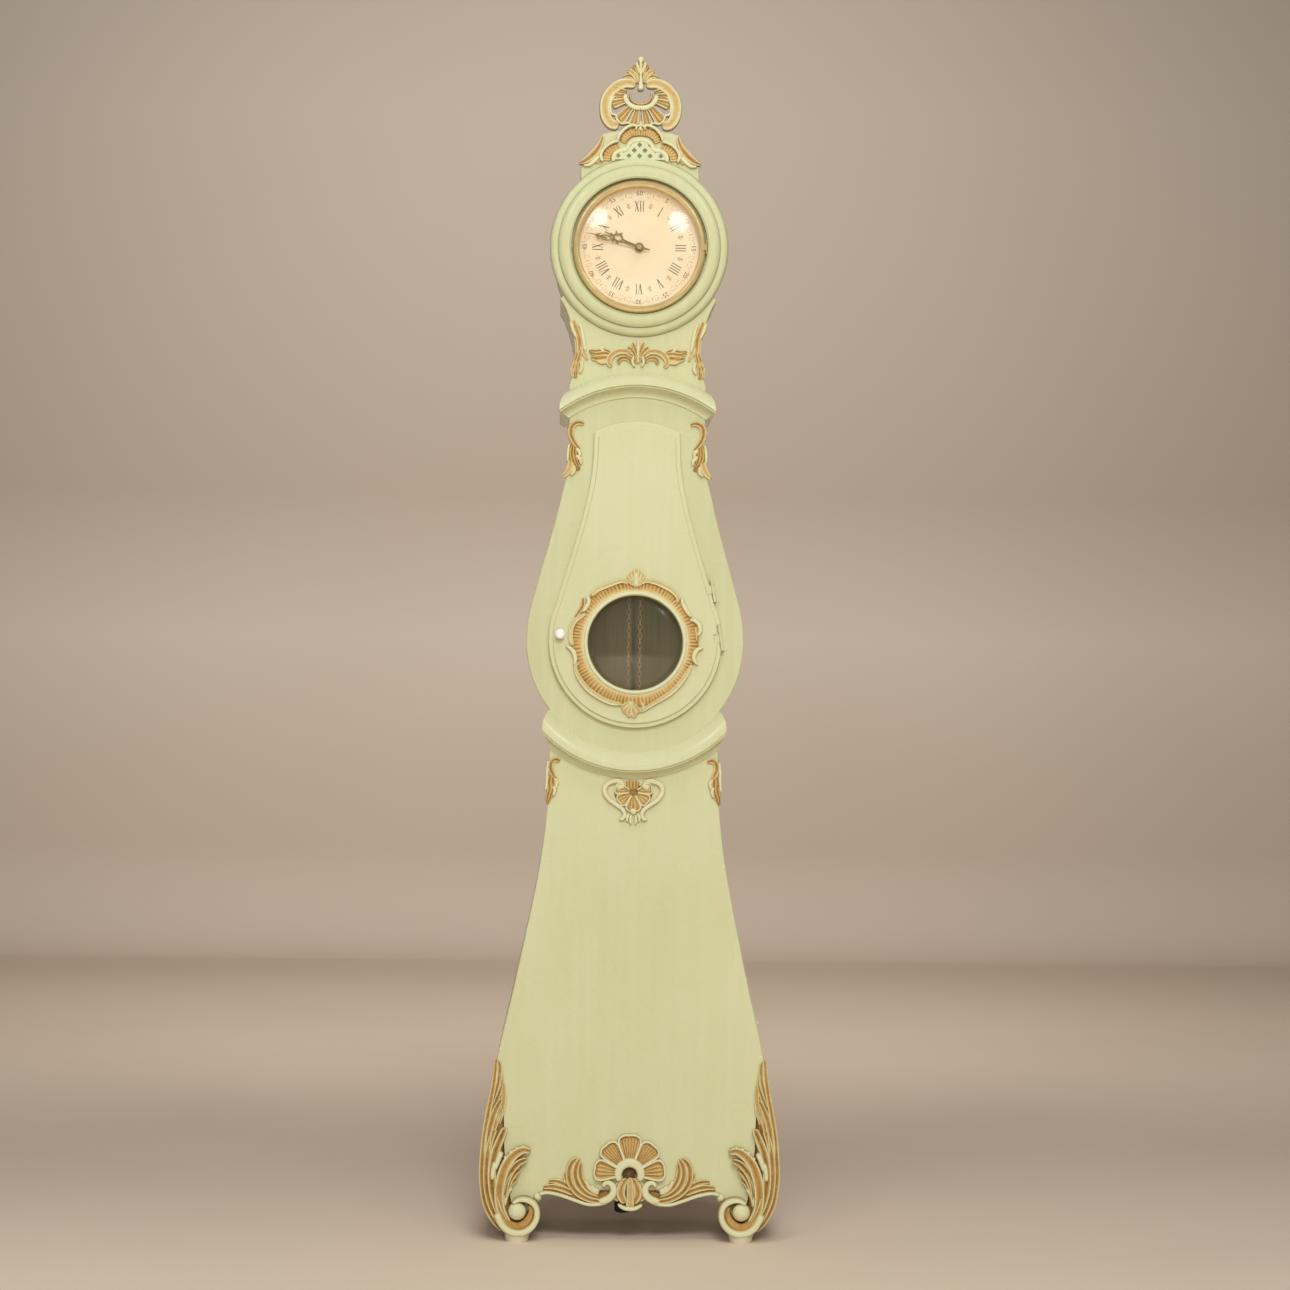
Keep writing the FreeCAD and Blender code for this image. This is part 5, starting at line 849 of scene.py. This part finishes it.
apron_middle = [
    ([(629.7, 1176.4), (629.7, 1186), (629.7, 1196), (629.7, 1207)], (5.6, 7, 7.6, 10), 13, 1,
     {"wall": 2, "gold": 0.45}),
    ([(617.6, 1203), (623, 1206.4), (629.7, 1207.6), (636.4, 1206.4), (641.8, 1203)], (3, 4.4, 4.6, 4.4, 3),
     11, 0, {"wall": 2}),
]
apron_left = [
    ([(543, 1189.6), (557, 1189.6), (571, 1192), (586, 1196.4), (600, 1196), (608, 1191.6)],
     (5, 11, 17, 12, 11, 8), 4, 0, {"base_gold": 0.85}),
    ([(627, 1177.6), (622, 1184), (620.6, 1193.4), (624.4, 1202.6)], (5, 9.6, 9.6, 6), 10, 1, {"gold": 0.7}),
    ([(622.4, 1179), (616.8, 1186), (615, 1194), (618.4, 1200)], (4.4, 7, 7, 4.6), 8.6, 1, {"gold": 0.7}),
    ([(603.6, 1186.4), (604.2, 1182.4), (609, 1181.6), (613, 1186), (612.6, 1193), (606.6, 1198.4),
      (598, 1200.4)], (4, 5.4, 7, 8, 8.4, 8, 5.4), 12, 0, {"wall": 2}),
    ([(577.4, 1157.4), (571.6, 1162.8), (568.8, 1172), (570.6, 1183), (577.4, 1192), (588, 1198),
      (600, 1200.4)], (5.4, 7, 7, 7, 6.6, 6, 5), 12, 1, {"gold": 0.75, "wall": 1.5}),
    ([(580, 1158), (576, 1166), (575.4, 1176), (579.4, 1186), (587.4, 1193.4), (598, 1197)],
     (5, 7, 7, 7, 6, 5), 12, 1, {"gold": 0.75, "wall": 1}),
    ([(581, 1163), (580, 1171.6), (582.4, 1181), (588, 1188.6), (597, 1193.4)], (4, 6, 6.4, 6, 4.4), 11, 1,
     {"gold": 0.75, "wall": 1}),
    ([(586, 1179.6), (588.4, 1185.4), (593, 1190), (599, 1192.6)], (3.6, 5, 5, 4), 10, 0,
     {"base_gold": 0.2}),
    ([(591.4, 1184.6), (594.4, 1188), (599.4, 1190)], (3.2, 4.2, 3.2), 9, 0),
    ([(574, 1192.6), (563.6, 1188.4), (553.4, 1186), (543.4, 1186.4)], (6.4, 7, 6.4, 4), 9, 1,
     {"gold": 0.75}),
    ([(572.6, 1188), (564.6, 1183.6), (556.6, 1180.8), (548.6, 1180.6)], (6, 6.4, 6, 3.6), 9, 1,
     {"gold": 0.75}),
    ([(570.6, 1184), (566, 1178), (564.2, 1172)], (6, 6, 3.6), 9, 1, {"gold": 0.7}),
    ([(607, 1201), (598, 1203), (587, 1203), (573.6, 1198.8), (559.4, 1194), (547, 1191.8), (539, 1193.4)],
     (3.6, 4, 4, 3.8, 3.8, 3.8, 3.6), 10, 0, {"wall": 1.5}),
]


def make_apron():
    back = carving_back
    hub = spot_at(629.6, 1173) * (0, 1)
    shells = [strand([polar(hub, angle, 22 * pixel) for angle in (-92, -46, 0, 46, 92)], (42,), 3, back, 0,
                     base_gold=0.85)]
    petals = ((0, 19.6, 37.6, 6), (40, 18.6, 36, 6), (-40, 18.6, 36, 6),
              (82, 19.6, 34, 4), (-82, 19.6, 34, 4))
    for angle, half, reach, flutes in petals:
        shells += lobe(hub, angle, half, 13 * pixel, reach * pixel, 12, back, flutes, 4.4, 1.5, 0.04)
    collar = [polar(hub, angle, 11.5 * pixel) for angle in (-128, -96, -60, -28, 0, 28, 60, 96, 128)]
    shells.append(strand(collar, np.array([6.4, 9, 10, 10.4, 10, 9, 6.4]) * pixel, 12, back, 0, 2.0))
    # A flat dark boss in the collar: painted shade where the shell's arch opens into shadow.
    shells.append(button(0.0, hub[1], 12.5, 1.0, back, 3.2, gold=0.95))
    shells += strokes(apron_middle, back) + both(strokes(apron_left, back))
    shells += both([button(*spot_at(537.6, 1196.4), 7.4, 8, back, 2)])
    carve("apron_shell_and_scrolls", shells, "apron_carving")


# Feet: acanthus leaves that run down the corner and roll up into a volute


foot_left = [
    ([(498, 1061), (497, 1090), (495, 1125), (493.4, 1160), (496, 1190), (503, 1214), (511, 1225)],
     (4, 10, 18, 22, 28, 26, 20), 5, 0, {"base_gold": 0.85}),
    ([(496.8, 1058.6), (495.4, 1074), (492.8, 1092), (488.8, 1112), (485.4, 1132), (483, 1155),
      (482.2, 1180), (486, 1204), (495, 1221), (503, 1229)], (3.4, 5.4, 6, 6.4, 6.4, 6.4, 6.4, 6.4, 6, 4),
     11, 1, {"gold": 0.75, "wall": 3, "rise": (0.5, 0.6, 0.9, 1.2, 1.4)}),
    ([(499.6, 1061.6), (500.2, 1072), (498.8, 1084), (494.6, 1098)], (3.6, 6, 6.4, 4.4), 9, 1,
     {"gold": 0.75}),
    ([(501.6, 1073), (501.8, 1083), (499, 1094.6), (494, 1107)], (3.4, 5.4, 5.6, 3.6), 9.5, 1,
     {"gold": 0.75}),
    ([(503.8, 1084), (504, 1097), (502.4, 1110), (498.6, 1124)], (3, 5.6, 6.4, 4.4), 8, 1, {"gold": 0.6}),
    ([(502, 1099), (497, 1108), (491.8, 1122), (488, 1142), (487, 1162)], (4.6, 7, 7.6, 7.6, 6), 11, 1,
     {"gold": 0.75, "wall": 2}),
    ([(503.8, 1105), (500.4, 1113.6), (495.6, 1125), (491.6, 1139)], (3.6, 5.2, 5.6, 3.6), 11, 1,
     {"gold": 0.6}),
    ([(495.4, 1128.6), (491.2, 1140), (487.8, 1156), (486.6, 1176), (488.6, 1196), (495, 1213),
      (502.6, 1224)], (6, 6.6, 7, 7.2, 7, 7, 6), 14, 1,
     {"gold": 0.75, "wall": 4, "rise": (0.7, 0.9, 1, 1.2)}),
    ([(505.6, 1127.6), (501, 1138), (495.6, 1152), (492.4, 1170), (493.2, 1190), (498.4, 1208),
      (506.6, 1221)], (7, 9, 9.6, 9.6, 9.2, 8.6, 7), 16, 1,
     {"gold": 0.8, "wall": 5, "rise": (0.6, 0.8, 1, 1.1, 1.2)}),
    ([(502, 1151), (498.4, 1159), (495.6, 1169)], (6.4, 6.6, 4), 19, 0, {"wall": 4}),
    ([(496.2, 1160.6), (493.8, 1169), (492.6, 1179)], (6, 6, 4), 19, 0, {"wall": 4}),
    ([(531, 1150.8), (523, 1149.4), (514, 1154.6), (506.6, 1164), (502, 1176.4), (499.4, 1192),
      (501.4, 1209), (508.4, 1222)], (5.4, 9.6, 11, 11.4, 11.2, 10.6, 10, 9), 21, 1,
     {"gold": 0.7, "wall": 7, "rise": (0.5, 0.7, 0.9, 1, 1)}),
    ([(527.4, 1158.4), (519.4, 1161.8), (512, 1169.8), (507, 1181), (504.4, 1197)], (5, 7.6, 7.6, 6.6, 5),
     17, 1, {"gold": 0.8, "wall": 4}),
    ([(521, 1167.6), (514.6, 1173), (509.2, 1182), (506, 1194)], (5, 7.2, 6.6, 5), 15, 1,
     {"gold": 0.8, "wall": 3}),
    ([(518, 1177.6), (512, 1182), (507.6, 1190), (505, 1201)], (5, 6.8, 6.2, 5), 14, 1, {"gold": 0.8}),
    ([(512.2, 1186.6), (508, 1191.6), (505.6, 1198.6), (504.4, 1206)], (4.4, 5.6, 5.6, 4.4), 14, 0,
     {"base_gold": 0.15}),
    ([(501.4, 1199), (502.6, 1211), (508.6, 1221.6), (518, 1225), (527, 1219.6), (531.4, 1210), (529, 1203)],
     (5, 8, 11, 11, 10, 8, 5), 15, 0, {"base_gold": 0.7, "wall": 3}),
    ([(496.6, 1211), (502.6, 1223.4), (511.6, 1230), (522.4, 1230.6), (531.8, 1225), (537, 1214.8),
      (535.4, 1204), (528, 1198.6), (519.4, 1198), (512.4, 1201.6)],
     (8, 8, 7.6, 7.4, 7.4, 7.2, 7, 6.4, 5.4, 4), 19, 0, {"wall": 9}),
]


def make_feet():
    back = carving_back
    curls = [[(524.6, 1148), (522.4, 1144.6)], [(518.6, 1149.6), (515.8, 1146.4)],
             [(512.4, 1153), (509.6, 1150)], [(507, 1158.4), (504.4, 1155.6)]]
    shells = strokes(foot_left + [(path, (4.4, 3.6), 15, 0, {"wall": 3}) for path in curls], back)
    shells.append(button(*spot_at(517.4, 1209.4), 15.8, 13, back, 18, 0.0))
    carve("foot_leaves_and_volutes", both(shells), "foot_carvings")


# Chain links


def chain(path):
    """Oval links end to end along a path in the clock's depth plane, each turned a quarter from the last.

    A link is a tube of five sides round a long oval of twelve steps.
    """
    pitch, wire, half_width = 8.45, 0.65, 2.7
    path = np.asarray(path, float)
    run = run_along(path)
    count = int(run[-1] // pitch)
    middle = (np.arange(count) + 0.5) * run[-1] / count
    spots, after, before = (places_along(path, run, at) for at in (middle, middle + 1, middle - 1))
    ahead = after - before
    ahead /= np.linalg.norm(ahead, axis=1, keepdims=True)
    t = circle(12)[:, None]
    v = circle(5)
    straight = pitch / 2 + wire * 1.3 - half_width
    along = np.cos(t) * half_width + np.sign(np.cos(t)) * straight * (np.abs(np.cos(t)) > 1e-9)
    a = along + wire * np.cos(v) * np.cos(t)
    b = np.sin(t) * half_width + wire * np.cos(v) * np.sin(t)
    c = np.broadcast_to(wire * np.sin(v), a.shape)
    shells = []
    for number in range(count):
        turn = 0.2 + np.pi / 2 * (number % 2)
        p, q = b * np.cos(turn) - c * np.sin(turn), b * np.sin(turn) + c * np.cos(turn)
        d = ahead[number]
        x = spots[number, 0] + a * d[0] + p * d[1]
        z = spots[number, 1] + a * d[1] - p * d[0]
        shells.append(closed_sweep(np.stack([x, chain_y + q, z], -1), 0.0, looped=True))
    return shells


def make_chains():
    """The weight's chain straight down from the sprocket, and the free chain over the sprocket, down, round
    a loop and up to the ring at its end."""
    wheel, hook_z, loop_z, loop_radius, end_x, end_z = 10.0, 297.0, 62.0, 14.0, 17.6, 326.0
    links = add("weight_chain_links", chain([(-wheel, hook_z), (-wheel, great_z)]), "case",
                chain_brass_painted_light, ["chain_weight_strand"])
    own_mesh(links)
    over = np.linspace(np.pi, 0, 24)
    under = np.linspace(np.pi, 2 * np.pi + 0.06, 24)
    path = list(zip(wheel * np.cos(over), great_z + wheel * np.sin(over))) + [(wheel, loop_z)]
    path += list(zip(wheel + loop_radius * (1 + np.cos(under)), loop_z + loop_radius * np.sin(under)))
    shells = chain(path + [(end_x, end_z)])
    ring_x, ring_z, ring_radius, wire = 12.9, 324.5, 5.6, 1.1
    turn = circle(24)[:, None]
    v = circle(8)
    radius = ring_radius + wire * np.cos(v)
    z = np.broadcast_to(ring_z + wire * np.sin(v), (len(turn), len(v)))
    ring = np.stack([ring_x + radius * np.cos(turn), chain_y + radius * np.sin(turn), z], -1)
    shells.append(closed_sweep(ring, 0.0, looped=True))
    add("free_chain_links", shells, "case", chain_brass_painted_light, ["chain_free_strand"])


# Dial


def flat(path, width):
    """A thin printed stroke on the dial: a strand with no channels."""
    thick, above = 0.12, 0.02
    return strand(path, np.atleast_1d(width), thick, dial_face + above, 0, ends=(0.3, 0.3), base_gold=0.0)


def turned_to(shells, angle, radius):
    """Shells drawn upright about the origin, moved out along the dial to so many degrees from the top."""
    turn = np.radians(angle)
    moved = []
    for points, faces, gold in shells:
        x, y, z = points.T
        z = z + radius
        across, up = x * np.cos(turn) + z * np.sin(turn), dial_z - x * np.sin(turn) + z * np.cos(turn)
        moved.append((np.stack([across, y, up], 1), faces, gold))
    return moved


def roman(text):
    """Numerals of thick and thin strokes with small serifs, upright about the origin. A stroke is where it
    starts at the top and ends at the bottom, across from the letter's middle, and its width."""
    advance = {"I": 4.7, "V": 8.6, "X": 8.6}
    drawn = {"I": [(0, 0, 1.5)], "V": [(-3, 0, 1.9), (3, 0, 0.9)], "X": [(-3, 3, 1.9), (3, -3, 0.9)]}
    feet = {"I": [(0, -1), (0, 1)], "V": [(-3, 1), (3, 1)], "X": [(-3, 1), (3, 1), (-3, -1), (3, -1)]}
    tall, serif, hair = 18.5, 1.3, 0.45
    half = tall / 2
    shells, cursor = [], -sum(advance[letter] for letter in text) / 2
    for letter in text:
        x = cursor + advance[letter] / 2
        cursor += advance[letter]
        shells += [flat([(x + top, half), (x + low, -half)], width) for top, low, width in drawn[letter]]
        shells += [flat([(x + at - serif, end * half), (x + at + serif, end * half)], hair)
                   for at, end in feet[letter]]
    return shells


def figure(text, tall):
    """A small number from the built-in face, meshed and flattened on the dial."""
    curve = bpy.data.curves.new("minute_figure_" + text, "FONT")
    curve.body, curve.size, curve.extrude = text, tall * mm, 0.00005
    curve.align_x, curve.align_y, curve.resolution_u = "CENTER", "CENTER", 2
    holder = bpy.data.objects.new("minute_figure_" + text, curve)
    mesh = bpy.data.meshes.new_from_object(holder)
    points = np.empty(len(mesh.vertices) * 3, np.float32)
    mesh.vertices.foreach_get("co", points)
    points = points.reshape(-1, 3).astype(float) / mm
    faces = [list(face.vertices) for face in mesh.polygons]
    bpy.data.objects.remove(holder)
    bpy.data.curves.remove(curve)
    bpy.data.meshes.remove(mesh)
    x, y, z = points.T
    return [(np.stack([x, dial_face - 0.04 - z, y], 1), faces, np.zeros(len(points)))]


def make_dial_marks():
    """Twelve hours, the minutes outside them, and between two hours a leaf within and a scroll without."""
    hour_radius, figure_radius, leaf_radius, scroll_radius, figure_tall = 74.0, 96.5, 77.0, 94.5, 11.5
    names = ["XII", "I", "II", "III", "IIII", "V", "VI", "VII", "VIII", "IX", "X", "XI"]
    leaf = [flat([(0, -5.4), (0, 5.0)], (0.8, 1.9, 0.6)), flat([(-4.4, -1.2), (0, -3.6), (4.4, -1.2)], 1.0),
            flat([(-3.2, 3.0), (0, 0.4), (3.2, 3.0)], 1.0),
            flat([(-2.4, -5.8), (0, -4.4), (2.4, -5.8)], 0.9)]
    scroll = []
    for side in (-1, 1):
        turn = np.linspace(0, 4.4, 9)
        curl = 4.2 - 0.62 * turn
        scroll.append(flat(np.stack([side * (9 - curl * np.cos(turn)), 1 + curl * np.sin(turn)], 1), 0.7))
        scroll.append(flat([(side * 13.5, 0.6), (side * 17, 3.4), (side * 20, 1.4)], 0.7))
        scroll.append(flat([(side * 4, -2.4), (side * 7.4, -4.4), (side * 11, -3.4)], 0.6))
    scroll.append(flat([(0, -3.4), (0, 4.6)], (0.5, 1.5, 0.4)))
    dark, faint = [], []
    for number, name in enumerate(names):
        angle = number * 30
        dark += turned_to(roman(name), angle, hour_radius)
        dark += turned_to(figure(str(number * 5 or 60), figure_tall), angle, figure_radius)
        faint += turned_to(leaf, angle + 15, leaf_radius)
        faint += turned_to(scroll, angle + 15, scroll_radius)
    add("dial_numerals", dark, "case", numeral_ink)
    add("dial_scrollwork", faint, "case", scroll_ink)


def hand(strands, angle, back, eye, bore):
    """A flat pierced hand drawn upright from its round eye, then turned to its place."""
    thick = 1.2
    middle = (bore + eye) / 2
    shells = [strand(path, np.atleast_1d(width), thick * 0.5, back, 0, wall=thick * 0.5, ends=ends,
                     base_gold=0.0) for path, width, ends in strands]
    ring = ring_about(dial_z, [bore, bore, middle, eye, eye],
                      [back, back - thick * 0.8, back - thick, back - thick * 0.7, back], 48)
    return turned_to(shells, angle, 0.0) + [ring]


def mirrored_rows(rows):
    """Rows of a hand on the left, and the same rows on the right."""
    return rows + [([(-x, z) for x, z in path], width, ends) for path, width, ends in rows]


def make_hands():
    """Both hands near a quarter to ten, each row a path, its widths and the shares of its rounded ends."""
    minute = [
        ([(0, 4), (0, 30), (0, 52)], (3.6, 2.6, 2.4), (0.1, 0.1)),
        ([(0, 60), (0, 92)], (3.4, 1.0), (0.2, 1)),
        ([(-4.4, 46), (0, 50), (4.4, 46)], (1.4, 2, 1.4), (1, 1)),
        ([(0, -4), (0, -20)], (4.6, 2.0), (0.2, 1)),
        ([(-2.4, -9), (0, -7), (2.4, -9)], (1.6, 2, 1.6), (1, 1)),
    ]
    minute += mirrored_rows([
        ([(0, 50), (-3.6, 57), (-3.6, 66), (0, 73)], (1.8, 2.2, 2.2, 1.8), (1, 1)),
        ([(-5.6, 72), (-2.6, 76), (0, 82)], (1.6, 2.6, 2), (1, 1)),
    ])
    hour = [
        ([(0, 4), (0, 20), (0, 34)], (4.6, 3.4, 3.2), (0.1, 0.1)),
        ([(0, 48), (0, 68)], (4.0, 1.0), (0.3, 1)),
        ([(-3.4, 56), (0, 53.6), (3.4, 56)], (1.4, 2.4, 1.4), (1, 1)),
    ]
    hour += mirrored_rows([
        ([(0, 32), (-5.4, 37), (-5.4, 45), (0, 50)], (2.2, 2.8, 2.8, 2.2), (1, 1)),
        ([(-11, 37), (-7, 41), (-4.6, 46)], (1.8, 3, 2), (1, 1)),
        ([(-10, 50), (-6, 47), (-2, 50)], (1.6, 2.6, 2), (1, 1)),
    ])
    for name, rows, angle, back, eye, bore in (
            ("minute_hand", minute, 285.0, minute_hand_back, 5.6, 2.66),
            ("hour_hand", hour, 293.75, hour_hand_back, 8.2, 4.26)):
        shells = hand(rows, angle, back, eye, bore)
        add(name + "_pierced", shells, name + "_group", hand_brass, [name])


# Knob and small wear


def make_knob():
    """The porcelain knob: a mushroom turned about its spindle, radius and depth along one smooth profile."""
    profile = np.array([(2.6, -117.0), (6.2, -117.0), (5.2, -119.2), (5.4, -121.4), (8.2, -123.6),
                        (9.3, -126.4), (8.9, -129.4), (6.8, -131.8), (3.4, -132.8), (0.4, -132.9)])
    steps = 40
    u = np.linspace(0, len(profile) - 1, steps)
    radius, depth = (np.interp(u, range(len(profile)), profile[:, k]) for k in (0, 1))
    kernel = np.array([0.25, 0.5, 0.25])
    for _ in range(4):
        radius[1:-1] = np.convolve(radius, kernel, "valid")
        depth[1:-1] = np.convolve(depth, kernel, "valid")
    shell = lathe(knob_x, knob_z, radius, depth, steps)
    add("white_knob", [shell], "door_latch", white_glaze, ["door_knob"])


def flake(x, z, y, long, wide, lean):
    """A chip in the paint: a thin rounded patch, longer one way, with an uneven rim."""
    steps, sunk, proud = 14, 0.2, 0.06
    angle = circle(steps)
    rim = 1 + 0.25 * rng.standard_normal(steps)
    u, v = long * np.cos(angle) * rim / 2, wide * np.sin(angle) * rim / 2
    px, pz = x + u * np.cos(lean) - v * np.sin(lean), z + u * np.sin(lean) + v * np.cos(lean)
    rings = np.stack([np.stack([px, np.full(steps, depth), pz], -1) for depth in (y + sunk, y - proud)])
    return closed_sweep(rings, 0.0)


def make_chips():
    """Chips on the front board's edges, in pixels across and down, with their length and width."""
    places = [(724, 866, 9, 2.4), (727.4, 886, 6, 2), (733, 918, 8, 2), (739, 944, 5, 1.8),
              (757.4, 1022, 7, 2), (501, 1050, 10, 2.6), (506.4, 1026, 6, 2), (533, 918, 5, 1.6),
              (761, 1056, 6, 2.4), (546, 862, 4, 1.6), (557.6, 629, 4, 1.6), (553, 640, 3, 1.4)]
    shells = []
    for x, y, long, wide in places:
        lean = np.radians(100 if x > 628 else 76)
        shells.append(flake(*spot_at(x, y), front, long, wide, lean))
    add("paint_chips", shells, "case", chipped)


# Studio: the floor and the wall, the lights and the camera


def make_stage():
    """A floor that turns up into a wall well behind the clock: one sheet bent along an arc."""
    half_width, near, tall, bend, columns = 9000.0, -9000.0, 7000.0, 400.0, 12
    turn = np.linspace(0, np.pi / 2, 20)
    y = np.r_[near, stage_depth - bend + bend * np.sin(turn), stage_depth]
    z = np.r_[0.0, bend - bend * np.cos(turn), tall]
    x = np.linspace(-half_width, half_width, columns)
    rows = len(y)
    points = np.stack([np.repeat(x, rows), np.tile(y, columns), np.tile(z, columns)], 1)
    i, j = np.meshgrid(np.arange(columns - 1), np.arange(rows - 1), indexing="ij")
    corner = i * rows + j
    faces = np.stack([corner, corner + rows, corner + rows + 1, corner + 1], -1).reshape(-1, 4)
    # Painted light and shade on the paper: the floor lighter towards the viewer and darker near the clock, a
    # lighter band up the wall.
    bands = [(-1.0, "F8E1C8"), (-0.85, "F1D9C0"), (-0.55, "DDC7AF"), (-0.12, "BAA690"), (0.05, "BDA997"),
             (0.7, "BFAD9A"), (1.2, "C4B3A3"), (1.75, "AC9B8A"), (3.2, "B0A192"), (4.5, "A69788")]
    mesh_piece("studio_sweep", points, faces.tolist(), studio("studio_paper_painted_light", bands))


def soft_light(name, place, target, size, power, glare=True, spread=180.0):
    """A round softbox aimed at a place. One without glare lights a piece and doesn't mirror in it."""
    lamp = bpy.data.lights.new(name, "AREA")
    lamp.shape, lamp.size, lamp.energy, lamp.color = "DISK", size, power, (0.96, 0.99, 1.0)
    lamp.spread = np.radians(spread)
    holder = bpy.data.objects.new(name, lamp)
    holder.location = place
    holder.rotation_euler = (Vector(target) - Vector(place)).to_track_quat("-Z", "Y").to_euler()
    holder.visible_glossy = glare
    scene.collection.objects.link(holder)


def make_lights():
    """Three boxes on the front, two lamps that show as glare on the glass, one box on the wall, dim air."""
    soft_light("front_softbox", (0.5, -6.2, 4.8), (0, 0, 0.9), 2.4, 205, glare=False)
    soft_light("top_softbox", (0.0, -2.2, 5.2), (0, -1.2, 0), 2.0, 50, glare=False)
    soft_light("low_softbox", (-0.4, -6.4, 2.0), (0, 0, 0.9), 1.6, 88, glare=False)
    soft_light("right_lamp", (2.9, -5.3, 4.5), (0, 0, 1.2), 1.5, 34)
    soft_light("left_lamp", (-2.8, -5.2, 4.7), (0, 0, 1.2), 1.5, 34)
    soft_light("wall_softbox", (-0.1, 1.8, 4.6), (0.0, 6.0, 1.4), 3.0, 104, glare=False, spread=117.0)
    world = bpy.data.worlds.new("studio_air")
    world.use_nodes = True
    air = world.node_tree.nodes["Background"].inputs
    air[0].default_value, air[1].default_value = (0.78, 0.79, 0.80, 1), 0.18
    scene.world = world


def make_camera():
    """The photograph's camera: 5.5 m in front, a little to the left, at hip height, rolled a little. The
    middle of the picture lies a few pixels to the right of the clock's own middle line."""
    distance, height, azimuth, roll = 5.5, 0.95, np.radians(-1.4), np.radians(0.6)
    lens_pixels, picture_pixels, aside_pixels, aim_height = 3096.0, 1290.0, 10.0, 1.0556
    place = Vector((distance * np.sin(azimuth), front * mm - distance * np.cos(azimuth), height))
    middle_line = Vector((0.0, front * mm, aim_height))
    ahead = (middle_line - place).normalized()
    right = ahead.cross(Vector((0, 0, 1))).normalized()
    ahead = (ahead + right * (aside_pixels / lens_pixels)).normalized()
    right = ahead.cross(Vector((0, 0, 1))).normalized()
    up = right.cross(ahead)
    turned = Matrix.Rotation(-roll, 3, ahead)
    right, up = turned @ right, turned @ up
    camera = bpy.data.cameras.new("studio_camera")
    camera.sensor_fit, camera.sensor_width = "HORIZONTAL", 36.0
    camera.lens = camera.sensor_width * lens_pixels / picture_pixels
    holder = bpy.data.objects.new("studio_camera", camera)
    basis = Matrix((right, up, -ahead)).transposed().to_4x4()
    holder.matrix_world = Matrix.Translation(place) @ basis
    scene.collection.objects.link(holder)
    scene.camera = holder


make_crest()
make_cartouche()
make_brackets()
make_neck()
make_trunk_tops()
make_window()
make_base_top()
make_apron()
make_feet()
make_chains()
make_dial_marks()
make_hands()
make_knob()
make_chips()
make_stage()
make_lights()
make_camera()
scene.view_settings.view_transform = "Standard"
